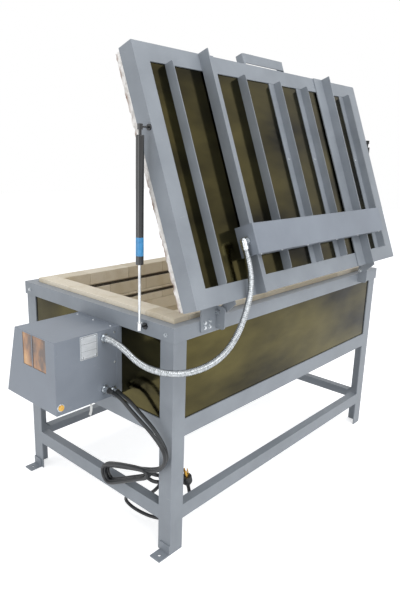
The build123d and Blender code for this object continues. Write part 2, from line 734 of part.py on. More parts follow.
# Rods: lower socket, rod and piston
with BuildPart() as strut_rod:
    with BuildSketch(along.offset(-SOCKET / 2)):
        Circle(SOCKET / 2)
    extrude(amount=SOCKET_LENGTH)
    with BuildSketch(along):
        Circle(ROD / 2)
    extrude(amount=ROD_REACH)
    with BuildSketch(along.offset(ROD_REACH)):
        Circle(TUBE / 2 - TUBE_WALL - ROD_FIT)
    extrude(amount=-PISTON)
    with Locations(low_ball):
        Sphere(BALL / 2 + ROD_FIT, mode=Mode.SUBTRACT)
    with BuildSketch(Plane.YZ.offset(STRUT_X)):
        with Locations((STRUT_LOW_Y, STRUT_LOW_Z)):
            Circle(STUD / 2)
    extrude(amount=-SOCKET, mode=Mode.SUBTRACT)
save_struts(strut_rod.part, "strut_rod")

# Tubes with their neck rods
TUBE_TOP = STRUT_OPEN - TUBE_DROP
with BuildPart() as strut_tube:
    with BuildSketch(along.offset(TUBE_TOP)):
        Circle(TUBE / 2)
    extrude(amount=-TUBE_LENGTH)
    fillet(strut_tube.edges().filter_by(GeomType.CIRCLE), radius=2)
    with BuildSketch(along.offset(TUBE_TOP - TUBE_END)):
        Circle(TUBE / 2 - TUBE_WALL)
    extrude(amount=-(TUBE_LENGTH - 2 * TUBE_END), mode=Mode.SUBTRACT)
    with BuildSketch(along.offset(TUBE_TOP - TUBE_LENGTH)):
        Circle(ROD / 2 + ROD_FIT)
    extrude(amount=TUBE_END, mode=Mode.SUBTRACT)
    with BuildSketch(along.offset(TUBE_TOP)):
        Circle(ROD / 2)
    extrude(amount=TUBE_DROP - SOCKET / 2)
save_struts(strut_tube.part, "strut_tube")

# Upper sockets, each round a ball with a short neck towards the lid
with BuildPart() as strut_socket:
    with BuildSketch(along.offset(STRUT_OPEN + SOCKET / 2)):
        Circle(SOCKET / 2)
    extrude(amount=-SOCKET)
    with Locations(high_ball):
        Sphere(BALL / 2 + ROD_FIT, mode=Mode.SUBTRACT)
    with BuildSketch(Plane.YZ.offset(STRUT_X)):
        with Locations((STRUT_OPEN_Y, STRUT_OPEN_Z)):
            Circle(STUD / 2)
    extrude(amount=-SOCKET, mode=Mode.SUBTRACT)
with BuildPart() as strut_ball:
    with Locations(high_ball):
        Sphere(BALL / 2)
    with BuildSketch(Plane.YZ.offset(STRUT_X)):
        with Locations((STRUT_OPEN_Y, STRUT_OPEN_Z)):
            Circle(STUD / 2 - 1)
    extrude(amount=-SOCKET / 2)
save_struts(group(strut_socket.part, strut_ball.part), "strut_head")

# Upper studs on the lid, ending clear of the struts
with BuildPart() as upper_stud:
    with BuildSketch(Plane.YZ.offset(LID_HALF)):
        with Locations((STRUT_CLOSED_Y, STRUT_CLOSED_Z)):
            Circle(STUD_BASE / 2 - 1)
    extrude(amount=STUD_BASE_HEIGHT)
    with BuildSketch(Plane.YZ.offset(LID_HALF)):
        with Locations((STRUT_CLOSED_Y, STRUT_CLOSED_Z)):
            Circle(STUD / 2 - 1)
    extrude(amount=STUD_END - LID_HALF)
save_open(both_ends(upper_stud.part), "strut_studs_upper")

BOX_CORNERS = (
    (BOX_FRONT_BOTTOM, BOX_BOTTOM),
    (BOX_REAR, BOX_BOTTOM),
    (BOX_REAR, BOX_TOP),
    (BOX_FRONT_TOP, BOX_TOP),
)


def box_outline(inset):
    """Draw the outline of the control box on the YZ plane, its front side leaning."""
    Polygon(*BOX_CORNERS, align=None)
    if inset:
        offset(amount=-inset, kind=Kind.INTERSECTION, mode=Mode.REPLACE)


# Control box base on the end panel
with BuildPart() as box_base:
    with BuildSketch(Plane.YZ.offset(PANEL_X)):
        box_outline(0)
    extrude(amount=BOX_SPLIT - PANEL_X)
    with BuildSketch(Plane.YZ.offset(PANEL_X + BOX_BASE_SHEET)):
        box_outline(BOX_BASE_SHEET)
    extrude(amount=BOX_SPLIT - PANEL_X, mode=Mode.SUBTRACT)
save(box_base.part, "control_box_base")

# Control box hood with the display window in its end face
WINDOW_BOTTOM = WINDOW_Z - WINDOW_HEIGHT / 2
window_left = WINDOW_Y - WINDOW_WIDTH / 2
window_right = WINDOW_Y + WINDOW_WIDTH / 2
bays = (
    (window_left, WINDOW_BAR_Y - WINDOW_BAR / 2),
    (WINDOW_BAR_Y + WINDOW_BAR / 2, window_right),
)
with BuildPart() as box_hood:
    with BuildSketch(Plane.YZ.offset(BOX_SPLIT)):
        box_outline(BOX_BASE_STEP)
    extrude(amount=BOX_OUT - BOX_SPLIT)
    fillet(box_hood.edges().group_by(Axis.X)[-1], radius=1.5)
    with BuildSketch(Plane.YZ.offset(BOX_SPLIT)):
        box_outline(BOX_BASE_STEP + BOX_SHEET)
    extrude(amount=BOX_OUT - BOX_SPLIT - BOX_SHEET, mode=Mode.SUBTRACT)
    with BuildSketch(Plane.YZ.offset(BOX_OUT)):
        for bay_start, bay_end in bays:
            with Locations((bay_start, WINDOW_BOTTOM)):
                Rectangle(bay_end - bay_start, WINDOW_HEIGHT, align=(Align.MIN, Align.MIN))
    extrude(amount=-BOX_SHEET, mode=Mode.SUBTRACT)
save(box_hood.part, "control_box_hood")

# Display: a pane behind the window
with BuildPart() as display:
    with BuildSketch(Plane.YZ.offset(BOX_OUT - BOX_SHEET)):
        with Locations((WINDOW_Y, WINDOW_Z)):
            Rectangle(WINDOW_WIDTH + 6, WINDOW_HEIGHT + 6)
    extrude(amount=-PANE)
save(display.part, "display_pane")

# Lamp, blank plate and tag on the rear side of the hood
HOOD_SIDE = BOX_REAR - BOX_BASE_STEP
with BuildPart() as lamp:
    with BuildSketch(Plane.XZ.offset(-HOOD_SIDE)):
        with Locations((LAMP_X, LAMP_Z)):
            Circle(LAMP / 2)
    extrude(amount=-LAMP_REACH)
    fillet(lamp.edges().group_by(Axis.Y)[-1], radius=3)
save(lamp.part, "lamp")

with BuildPart() as blank_plate:
    with BuildSketch(Plane.XZ.offset(-HOOD_SIDE)):
        with Locations((PLATE_X, PLATE_Z)):
            RectangleRounded(PLATE_WIDTH, PLATE_HEIGHT, 2)
    extrude(amount=-PLATE_SHEET)
save(blank_plate.part, "blank_plate")

with BuildPart() as tag:
    with BuildSketch(Plane.XZ.offset(-(HOOD_SIDE - TAG_INSET))) as tag_profile:
        with BuildLine():
            tag_line = (
                (TAG_X, BOX_BOTTOM + BOX_BASE_STEP),
                (TAG_X - 3, BOX_BOTTOM - TAG_LENGTH / 2),
                (TAG_X + 4, BOX_BOTTOM - TAG_LENGTH),
            )
            tag_near = Spline(*tag_line)
            tag_far = Spline(*[(tag_x + TAG_SHEET, tag_z) for tag_x, tag_z in tag_line])
            Line(tag_near @ 0, tag_far @ 0)
            Line(tag_near @ 1, tag_far @ 1)
        make_face()
    extrude(amount=TAG_WIDTH)
save(tag.part, "tag")

# Fittings for cords and conduit on the rear side of the hood
glands = []
for port_x, port_z in (CORD_PORT_1, CORD_PORT_2):
    port_plane = Plane(origin=(port_x, HOOD_SIDE, port_z), x_dir=(1, 0, 0), z_dir=(0, 1, 0))
    glands.append(fitting(port_plane))
save(group(*glands), "cord_glands")
port_plane = Plane(origin=(CONDUIT_PORT[0], HOOD_SIDE, CONDUIT_PORT[1]), x_dir=(1, 0, 0), z_dir=(0, 1, 0))
save(fitting(port_plane), "conduit_connector")


def tube_run(points, radii, diameter):
    """Sweep a round section along straight runs joined by tangent arcs."""
    with BuildPart() as run:
        with BuildLine() as path:
            FilletPolyline(*points, radius=radii)
        with BuildSketch(Plane(origin=path.line @ 0, z_dir=path.line % 0)):
            Circle(diameter / 2)
        sweep()
    return run.part


def run_radii(points):
    """Give each bend of a run 0.45 of its shorter neighbour over the tangent of half its turn."""
    radii = []
    for before, here, after in zip(points, points[1:], points[2:]):
        first = Vector(*here) - Vector(*before)
        second = Vector(*after) - Vector(*here)
        turn = radians(first.get_angle(second))
        radii.append(0.45 * min(first.length, second.length) / tan(turn / 2))
    return radii


# Hank of spare cord hanging on the outside of the stretcher
with BuildPart() as hank:
    with BuildSketch(Plane.YZ.offset(HANK_X)):
        with Locations(HANK_LOW):
            Circle(HANK_BIG)
        with Locations(HANK_HIGH):
            Circle(HANK_SMALL)
        make_hull()
    extrude(amount=HANK_THICK / 2, both=True)
    fillet(hank.edges(), radius=HANK_EASE)
save(hank.part, "cord_hank")

# Supply cords from the glands down to the hank
CORD_START = HOOD_SIDE + FITTING_REACH
cord_1_points = [
    (CORD_PORT_1[0], CORD_START, CORD_PORT_1[1]),
    (CORD_PORT_1[0], 258.0, CORD_PORT_1[1]),
    (830.0, 330.0, 562.0),
    (818.0, 415.0, 512.0),
    (804.0, 474.0, 446.0),
    (796.0, 448.0, 376.0),
    (794.0, 384.0, 338.0),
    (792.0, 330.0, 318.0),
]
cord_1 = tube_run(cord_1_points, run_radii(cord_1_points), CORD)
save(cord_1 - hank.part, "supply_cord_1")

cord_2_points = [
    (CORD_PORT_2[0], CORD_START, CORD_PORT_2[1]),
    (CORD_PORT_2[0], 250.0, CORD_PORT_2[1]),
    (788.0, 318.0, 546.0),
    (779.0, 398.0, 494.0),
    (774.0, 452.0, 428.0),
    (772.0, 428.0, 366.0),
    (771.0, 374.0, 332.0),
    (771.0, 326.0, 312.0),
]
cord_2 = tube_run(cord_2_points, run_radii(cord_2_points), CORD)
save(cord_2 - hank.part, "supply_cord_2")

# Plug leads from the hank: one in a loop inside the frame, one to a plug behind the leg
lead_1_points = [
    (778.0, 350.0, 316.0),
    (764.0, 377.0, 308.0),
    (734.0, 376.0, 292.0),
    (714.0, 352.0, 232.0),
    (706.0, 312.0, 184.0),
    (704.0, 252.0, 122.0),
    (704.0, 190.0, 98.0),
    (700.0, 136.0, 74.0),
    (692.0, 126.0, 40.0),
    (690.0, 182.0, 28.0),
    (682.0, 280.0, 34.0),
    (640.0, 350.0, 40.0),
    (604.0, 384.0, 58.0),
    (594.0, 400.0, 104.0),
    (596.0, 398.0, 158.0),
    (604.0, 394.0, 200.0),
]
lead_2_points = [
    (780.0, 334.0, 296.0),
    (764.0, 371.0, 274.0),
    (730.0, 388.0, 272.0),
    (692.0, 392.0, 284.0),
    (688.0, 392.0, 252.0),
    (688.0, 392.0, 236.0),
]
for lead_number, lead_points in enumerate((lead_1_points, lead_2_points), start=1):
    plug_lead = tube_run(lead_points, run_radii(lead_points), CORD)
    save(plug_lead - hank.part, f"plug_lead_{lead_number}")
    lead_end = Vector(*lead_points[-1]) - Vector(*lead_points[-2])
    plug_plane = Plane(origin=lead_points[-1], x_dir=(1, 0, 0), z_dir=lead_end)
    with BuildPart() as plug:
        with BuildSketch(plug_plane):
            Circle(CORD / 2 + 3)
        with BuildSketch(plug_plane.offset(PLUG_NECK)):
            Circle(PLUG_BODY / 2)
        loft()
        with BuildSketch(plug_plane.offset(PLUG_NECK)):
            Circle(PLUG_BODY / 2)
        extrude(amount=PLUG_LENGTH)
        with BuildSketch(plug_plane.offset(PLUG_NECK + PLUG_LENGTH)):
            with GridLocations(BLADE_PITCH, 1, 2, 1):
                Rectangle(BLADE_SHEET, BLADE_WIDTH)
            with Locations((0, BLADE_PITCH / 2)):
                Circle(BLADE_SHEET * 1.5)
        extrude(amount=BLADE_LENGTH)
    save(plug.part, f"plug_{lead_number}")

# Flexible conduit from the control box to the wiring cover
COVER_TURN = COVER_PORT_Y + ELBOW_REACH
conduit_end_y, conduit_end_z = opened(COVER_TURN, COVER_PORT_Z)
conduit_last_y, conduit_last_z = opened(COVER_TURN + 60, COVER_PORT_Z)
conduit_points = [
    (CONDUIT_PORT[0], CORD_START, CONDUIT_PORT[1]),
    (CONDUIT_PORT[0], 262.0, CONDUIT_PORT[1]),
    (840.0, 390.0, 754.0),
    (816.0, 512.0, 756.0),
    (735.0, 560.0, 766.0),
    (640.0, 572.0, 792.0),
    (562.0, 570.0, 848.0),
    (512.0, 566.0, 930.0),
    (486.0, 562.0, 1010.0),
    (ELBOW_X, conduit_last_y, conduit_last_z),
    (ELBOW_X, conduit_end_y, conduit_end_z),
]
conduit = tube_run(conduit_points, run_radii(conduit_points), CONDUIT)
save(conduit, "flexible_conduit")
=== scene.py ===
"""Glass kiln with an opened clamshell lid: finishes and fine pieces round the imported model."""

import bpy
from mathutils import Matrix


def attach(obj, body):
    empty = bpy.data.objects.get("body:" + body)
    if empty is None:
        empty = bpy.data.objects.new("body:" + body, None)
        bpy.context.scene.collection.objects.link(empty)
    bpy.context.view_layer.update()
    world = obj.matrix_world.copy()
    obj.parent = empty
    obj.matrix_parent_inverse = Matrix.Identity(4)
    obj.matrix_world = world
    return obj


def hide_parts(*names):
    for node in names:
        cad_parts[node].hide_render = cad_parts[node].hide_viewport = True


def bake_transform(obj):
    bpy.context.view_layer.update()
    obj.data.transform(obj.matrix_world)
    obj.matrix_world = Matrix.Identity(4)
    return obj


bl_info = {
    "name": "Glass Kiln Dressing",
    "version": (1, 0, 0),
    "blender": (4, 5, 0),
    "location": "3D View > Sidebar > Glass Kiln",
    "description": "Finishes, cords, bricks, coils and fasteners of a glass kiln",
    "category": "Add Mesh",
}

import math
import random

import bmesh
import bpy
from bpy.props import FloatProperty, FloatVectorProperty, IntProperty, PointerProperty
from mathutils import Matrix, Vector, noise

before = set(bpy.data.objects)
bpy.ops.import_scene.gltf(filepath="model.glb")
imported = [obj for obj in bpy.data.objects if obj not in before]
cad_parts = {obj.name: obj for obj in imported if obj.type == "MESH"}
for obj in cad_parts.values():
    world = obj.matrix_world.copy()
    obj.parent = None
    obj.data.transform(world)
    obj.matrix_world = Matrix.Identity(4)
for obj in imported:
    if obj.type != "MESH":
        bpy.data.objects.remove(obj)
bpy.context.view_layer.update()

# The body's middle lies this far from the anchor holes, in millimetres
MIDDLE_X = -787.1

# Body and brick chamber, in millimetres from the body's middle
HALF_LENGTH = 762.0
HALF_DEPTH = 457.2
BRICK_X = 720.0
BRICK_Y = 415.2
CHAMBER_X = 644.0
CHAMBER_Y = 339.2
FLOOR_UNDER = 512.0
FLOOR_TOP = 588.0
BRICK_TOP = 905.0
GROOVE_HEIGHTS = (843.0, 757.0)
GROOVE_HALF = 9.0
GROOVE_DEEP = 18.0

# Lid, drawn closed, in millimetres
LID_X = 743.8
LID_REAR = 439.2
LID_FRONT = -440.2
LID_TOP = 998.5
PANEL_UNDER = 992.5
SEAL_UNDER = 905.3
LINING_UNDER = 913.3
LID_SLOTS = 6
SLOT_HALF = 11.0
SLOT_DEEP = 20.0
RIB_FACES = ((615.0, -1), (222.0, -1), (-19.0, 1), (-226.0, 1), (-612.0, 1))

# Hinge of the lid and its opened angle
HINGE = Vector((0.0, 472.6, 909.4))
OPEN_ANGLE = math.radians(69.08)

# Control box: its rear side, its back and front edges' heights, and its lamp and plate
BOX_SIDE = 176.8
BOX_LOW = 566.0
BOX_HIGH = 834.7
SCREW_LINE = 786.0
LAMP_X = 1022.0
LAMP_Z = 595.0
PLATE_X = 900.0
PLATE_Z = 786.0
PLATE_WIDTH = 68.0

# Lid frame's rear edge, and the wiring cover's port for the conduit
LID_EDGE = 445.0
PORT_X = 480.0
PORT_Y = 252.0
PORT_RISE = 38.5
PORT_REACH = 30.0

# Gas strut, open: its balls, its closed tube and the film sleeve near the tube's lower end
STRUT_X = 790.0
STRUT_LOW = Vector((790.0, 318.0, 867.0))
STRUT_LID = (607.0, 11.0)
STRUT_HEAD = 0.025
STRUT_TUBE = 0.417
SLEEVE_START = 0.030
SLEEVE_LENGTH = 0.062
SLEEVE_RADIUS = 0.01352

# Photograph's camera, in millimetres from the body's middle, and its picture in pixels
CAMERA_PLACE = (2013.15, 1684.27, 1464.01)
CAMERA_RIGHT = (-0.66688266, 0.74452322, 0.03086568)
CAMERA_DOWN = (0.1687967, 0.19127947, -0.96691253)
CAMERA_AHEAD = (-0.7257928, -0.63960718, -0.25323402)
CAMERA_FOCAL = 555.48
CAMERA_CENTRE = (203.32, 295.77)
PICTURE = (400, 601)


def row(point):
    """Turn millimetres from the body's middle into metres of the frame."""
    return Vector((point[0] + MIDDLE_X, point[1], point[2])) * 0.001


def opened(point):
    """Turn a point of the closed lid, in millimetres, to its opened place in the frame."""
    turn = Matrix.Rotation(-OPEN_ANGLE, 3, "X")
    return row(HINGE + turn @ (Vector(point) - HINGE))


def opened_facing(direction):
    """Turn a direction on the closed lid to its opened one."""
    return Matrix.Rotation(-OPEN_ANGLE, 3, "X") @ Vector(direction)


def linear(colour):
    """Give the linear colour of an sRGB hex value."""
    parts = [int(colour[at:at + 2], 16) / 255 for at in (1, 3, 5)]
    return [part / 12.92 if part <= 0.04045 else ((part + 0.055) / 1.055) ** 2.4 for part in parts] + [1.0]


def add_node(tree, kind, settings=None, links=None):
    """Add one node, set its properties and sockets, and link its inputs."""
    node = tree.nodes.new(kind)
    for key, value in (settings or {}).items():
        if isinstance(key, str) and hasattr(node, key):
            setattr(node, key, value)
        else:
            node.inputs[key].default_value = value
    for key, source in (links or {}).items():
        tree.links.new(source, node.inputs[key])
    return node


def start_material(name):
    """Start a material: its tree, shader and Object coordinates."""
    material = bpy.data.materials.new(name)
    material.use_nodes = True
    tree = material.node_tree
    shader = tree.nodes["Principled BSDF"]
    place = add_node(tree, "ShaderNodeTexCoord")
    return material, tree, shader, place.outputs["Object"]


def add_noise(tree, place, size_mm, detail=3.0, stretch=(1.0, 1.0, 1.0), roughness=0.5):
    """Add noise whose features are about size_mm across."""
    if stretch != (1.0, 1.0, 1.0):
        place = add_node(tree, "ShaderNodeMapping", {"Scale": stretch}, {"Vector": place}).outputs[0]
    return add_node(
        tree, "ShaderNodeTexNoise",
        {"Scale": 1000.0 / size_mm, "Detail": detail, "Roughness": roughness}, {"Vector": place},
    ).outputs["Fac"]


def add_blend(tree, factor, low, high, start=0.35, end=0.65):
    """Blend two hex colours by a factor between start and end."""
    ramp = add_node(tree, "ShaderNodeValToRGB", {}, {"Fac": factor})
    ramp.color_ramp.elements[0].position = start
    ramp.color_ramp.elements[0].color = linear(low)
    ramp.color_ramp.elements[1].position = end
    ramp.color_ramp.elements[1].color = linear(high)
    return ramp.outputs["Color"]


def add_range(tree, factor, low, high, start=0.3, end=0.7):
    """Map a factor to a range."""
    return add_node(
        tree, "ShaderNodeMapRange",
        {"From Min": start, "From Max": end, "To Min": low, "To Max": high}, {"Value": factor},
    ).outputs["Result"]


def add_mix(tree, factor, first, second):
    """Mix a colour socket with a hex colour by a factor socket."""
    return add_node(
        tree, "ShaderNodeMix", {"data_type": "RGBA", 7: linear(second)}, {0: factor, 6: first}).outputs[2]


def add_seen(tree, plain, shown):
    """Mix two shaders so that the camera, mirrors and glass see the second one."""
    path = add_node(tree, "ShaderNodeLightPath")
    seen = add_node(tree, "ShaderNodeMath", {"operation": "MAXIMUM"}, {
        0: path.outputs["Is Camera Ray"], 1: path.outputs["Is Glossy Ray"]})
    through = add_node(tree, "ShaderNodeMath", {"operation": "MAXIMUM"}, {
        0: seen.outputs[0], 1: path.outputs["Is Transmission Ray"]})
    return add_node(tree, "ShaderNodeMixShader", {}, {0: through.outputs[0], 1: plain, 2: shown}).outputs[0]


def add_bump(tree, shader, height, strength, depth_mm, below=None):
    """Add a bump of a depth in millimetres, over another bump if one is given."""
    links = {"Height": height}
    if below is not None:
        links["Normal"] = below
    bump = add_node(tree, "ShaderNodeBump", {"Strength": strength, "Distance": depth_mm / 1000}, links)
    tree.links.new(bump.outputs["Normal"], shader.inputs["Normal"])
    return bump.outputs["Normal"]


def sprayed_enamel(name, light, dark, streaks=(1.0, 1.0, 1.0)):
    """Satin grey enamel sprayed on rolled steel: a fine orange peel, cloudy shade and faint scuffs."""
    material, tree, shader, place = start_material(name)
    cloud = add_noise(tree, place, 160.0, 4.0, streaks)
    coat = add_blend(tree, cloud, dark, light, 0.3, 0.7)
    # Scuffs are pale hairlines a few millimetres wide, drawn longer along the steel
    scuff = add_noise(tree, place, 14.0, 6.0, (0.25, 0.25, 1.0), 0.7)
    scuffed = add_range(tree, scuff, 0.0, 0.55, 0.66, 0.78)
    tree.links.new(add_mix(tree, scuffed, coat, "#B4B9BE"), shader.inputs["Base Color"])
    tree.links.new(add_range(tree, cloud, 0.36, 0.5), shader.inputs["Roughness"])
    shader.inputs["Metallic"].default_value = 0.0
    shader.inputs["IOR"].default_value = 1.5
    # Orange peel of about 2 mm and the slow waves of hot rolled steel
    peel = add_noise(tree, place, 2.2, 2.0)
    waves = add_noise(tree, place, 60.0, 2.0)
    low = add_bump(tree, shader, waves, 0.25, 0.5)
    add_bump(tree, shader, peel, 0.12, 0.15, low)
    return material


def mirror_steel():
    """Polished stainless sheet: dark olive in large clouds, a painted reflection that is partly smudges; its
    real reflections waver where the sheet is slack.
    """
    material, tree, shader, place = start_material("polished stainless sheet")
    smudges_and_painted_reflection = add_noise(tree, place, 260.0, 4.0, (0.6, 1.0, 1.6))
    # Painted reflection: the dark olive stands in for the dark surroundings the sheet reflects; the large
    # clouds are smudges and painted reflection
    colour = add_blend(tree, smudges_and_painted_reflection, "#1F1D15", "#57502F", 0.3, 0.72)
    tree.links.new(colour, shader.inputs["Base Color"])
    shader.inputs["Metallic"].default_value = 1.0
    # Fine rolling lines of about 3 mm that show only in the gloss
    lines = add_noise(tree, place, 3.0, 2.0, (0.04, 0.04, 1.0))
    tree.links.new(add_range(tree, lines, 0.07, 0.2), shader.inputs["Roughness"])
    slack = add_noise(tree, place, 210.0, 1.0)
    add_bump(tree, shader, slack, 0.35, 7.0)
    return material


def pan_steel():
    """Aluminised steel pan: dull silver with a mottled coating."""
    material, tree, shader, place = start_material("aluminised steel")
    mottle = add_noise(tree, place, 9.0, 4.0)
    tree.links.new(add_blend(tree, mottle, "#8E9092", "#A9ABAC"), shader.inputs["Base Color"])
    shader.inputs["Metallic"].default_value = 1.0
    tree.links.new(add_range(tree, mottle, 0.38, 0.56), shader.inputs["Roughness"])
    add_bump(tree, shader, mottle, 0.2, 0.2)
    return material


def insulating_brick():
    """Insulating firebrick: cream, chalky and full of pores, each brick a little different."""
    material, tree, shader, place = start_material("insulating firebrick")
    tint = add_node(tree, "ShaderNodeAttribute", {"attribute_name": "tint"}).outputs["Fac"]
    body = add_blend(tree, tint, "#D3C7B0", "#EFE6D4", 0.0, 1.0)
    stain = add_noise(tree, place, 70.0, 5.0)
    body = add_mix(tree, add_range(tree, stain, 0.0, 0.45, 0.52, 0.75), body, "#C9B896")
    # Pores are about 2 mm across, with painted shade darkening them against the brick
    pores = add_node(
        tree, "ShaderNodeTexVoronoi", {"Scale": 420.0}, {"Vector": place}).outputs["Distance"]
    painted_pore_shade = add_range(tree, pores, 0.5, 0.0, 0.05, 0.28)
    body = add_mix(tree, painted_pore_shade, body, "#A9987A")
    tree.links.new(body, shader.inputs["Base Color"])
    shader.inputs["Roughness"].default_value = 0.95
    shader.inputs["Specular IOR Level"].default_value = 0.2
    grain = add_noise(tree, place, 3.0, 5.0)
    low = add_bump(tree, shader, pores, 0.5, 0.6)
    add_bump(tree, shader, grain, 0.35, 0.5, low)
    return material


def kiln_fibre(name, fibre_white, painted_hollow_shade, rim_brown_name=""):
    """Ceramic fibre: white, matt and fluffy, with painted shade greying its hollows, and browned along its
    ragged rim by a mask.
    """
    material, tree, shader, place = start_material(name)
    # Layers of the blanket are 6 mm thick and torn fibres 2 mm
    layers = add_noise(tree, place, 26.0, 6.0, (0.5, 1.0, 1.0), 0.65)
    # Painted shade: the low, hollow parts of the layers take the darker colour
    colour = add_blend(tree, layers, painted_hollow_shade, fibre_white, 0.32, 0.55)
    # Browned along the ragged rim where the rim mask is set
    if rim_brown_name:
        rim_brown = add_node(tree, "ShaderNodeAttribute", {"attribute_name": rim_brown_name}).outputs["Fac"]
        colour = add_mix(tree, rim_brown, colour, "#7A4A22")
    tree.links.new(colour, shader.inputs["Base Color"])
    shader.inputs["Roughness"].default_value = 1.0
    shader.inputs["Specular IOR Level"].default_value = 0.1
    shader.inputs["Sheen Weight"].default_value = 0.25
    tufts = add_noise(tree, place, 4.0, 5.0, roughness=0.7)
    low = add_bump(tree, shader, layers, 0.5, 3.0)
    add_bump(tree, shader, tufts, 0.5, 1.2, low)
    return material


def coil_alloy():
    """Iron chromium wire: its oxide is dark grey, dull and a little brown."""
    material, tree, shader, place = start_material("oxidised resistance wire")
    oxide = add_noise(tree, place, 12.0, 3.0)
    tree.links.new(add_blend(tree, oxide, "#3A3532", "#5B5550"), shader.inputs["Base Color"])
    shader.inputs["Metallic"].default_value = 0.6
    shader.inputs["Roughness"].default_value = 0.55
    return material


def zinc_plate(name, light, dark, rough_low, rough_high, grain_mm):
    """Zinc plated steel: bright, cool silver with a soft spangle and rubbed patches."""
    material, tree, shader, place = start_material(name)
    spangle = add_noise(tree, place, grain_mm, 4.0)
    tree.links.new(add_blend(tree, spangle, dark, light), shader.inputs["Base Color"])
    shader.inputs["Metallic"].default_value = 1.0
    tree.links.new(add_range(tree, spangle, rough_low, rough_high), shader.inputs["Roughness"])
    add_bump(tree, shader, add_noise(tree, place, 1.5, 2.0), 0.15, 0.1)
    return material


def amber_window():
    """Smoked glass over a painted amber glow: brown and orange clouds in its colour under a glossy coat."""
    material, tree, shader, place = start_material("smoked display glass")
    painted_glow = add_noise(tree, place, 46.0, 5.0, (1.0, 1.0, 0.55))
    ramp = add_node(tree, "ShaderNodeValToRGB", {}, {"Fac": painted_glow})
    ramp.color_ramp.elements[0].position = 0.34
    ramp.color_ramp.elements[0].color = linear("#4A2B10")
    ramp.color_ramp.elements[1].position = 0.72
    ramp.color_ramp.elements[1].color = linear("#D8A566")
    middle = ramp.color_ramp.elements.new(0.5)
    middle.color = linear("#A0682A")
    tree.links.new(ramp.outputs["Color"], shader.inputs["Base Color"])
    shader.inputs["Roughness"].default_value = 0.3
    shader.inputs["Coat Weight"].default_value = 0.7
    shader.inputs["Coat Roughness"].default_value = 0.04
    return material


def moulded_plastic(name, light, dark, rough, coat=0.0):
    """Moulded plastic or rubber: an even colour with a fine texture."""
    material, tree, shader, place = start_material(name)
    shade = add_noise(tree, place, 18.0, 3.0)
    tree.links.new(add_blend(tree, shade, dark, light), shader.inputs["Base Color"])
    tree.links.new(add_range(tree, shade, rough * 0.85, rough * 1.15), shader.inputs["Roughness"])
    shader.inputs["Coat Weight"].default_value = coat
    add_bump(tree, shader, add_noise(tree, place, 1.2, 2.0), 0.15, 0.1)
    return material


def jacket_rubber():
    """Extruded cord jacket: black rubber with soft lengthwise drag marks and dusty patches."""
    material, tree, shader, place = start_material("black cord jacket")
    dust = add_noise(tree, place, 45.0, 4.0)
    tree.links.new(add_blend(tree, dust, "#15171A", "#2A2C2F", 0.4, 0.75), shader.inputs["Base Color"])
    tree.links.new(add_range(tree, dust, 0.3, 0.5), shader.inputs["Roughness"])
    add_bump(tree, shader, add_noise(tree, place, 3.0, 3.0), 0.2, 0.2)
    return material


def gloss_black():
    """Black powder coat of a gas strut: deep, glossy, a few fine rub marks."""
    material, tree, shader, place = start_material("gloss black strut coat")
    rub = add_noise(tree, place, 8.0, 5.0, (1.0, 1.0, 0.1))
    tree.links.new(add_blend(tree, rub, "#0E0F11", "#1C1E21", 0.5, 0.75), shader.inputs["Base Color"])
    tree.links.new(add_range(tree, rub, 0.12, 0.26), shader.inputs["Roughness"])
    shader.inputs["Coat Weight"].default_value = 0.6
    shader.inputs["Coat Roughness"].default_value = 0.08
    add_bump(tree, shader, add_noise(tree, place, 2.0, 2.0), 0.1, 0.08)
    return material


def printed_plate():
    """Satin aluminium plate, left blank: brushed along its width."""
    material, tree, shader, place = start_material("blank aluminium plate")
    brush = add_noise(tree, place, 1.6, 2.0, (0.05, 1.0, 1.0))
    tree.links.new(add_blend(tree, brush, "#C6CACE", "#D9DCDF"), shader.inputs["Base Color"])
    shader.inputs["Metallic"].default_value = 0.35
    tree.links.new(add_range(tree, brush, 0.35, 0.5), shader.inputs["Roughness"])
    add_bump(tree, shader, brush, 0.1, 0.05)
    return material


def brass_blade():
    """Brass plug blades: warm yellow, lightly tarnished."""
    material, tree, shader, place = start_material("brass")
    tarnish = add_noise(tree, place, 9.0, 4.0)
    tree.links.new(add_blend(tree, tarnish, "#9C7430", "#C9A04C"), shader.inputs["Base Color"])
    shader.inputs["Metallic"].default_value = 1.0
    tree.links.new(add_range(tree, tarnish, 0.25, 0.45), shader.inputs["Roughness"])
    return material


FINISHES = {}


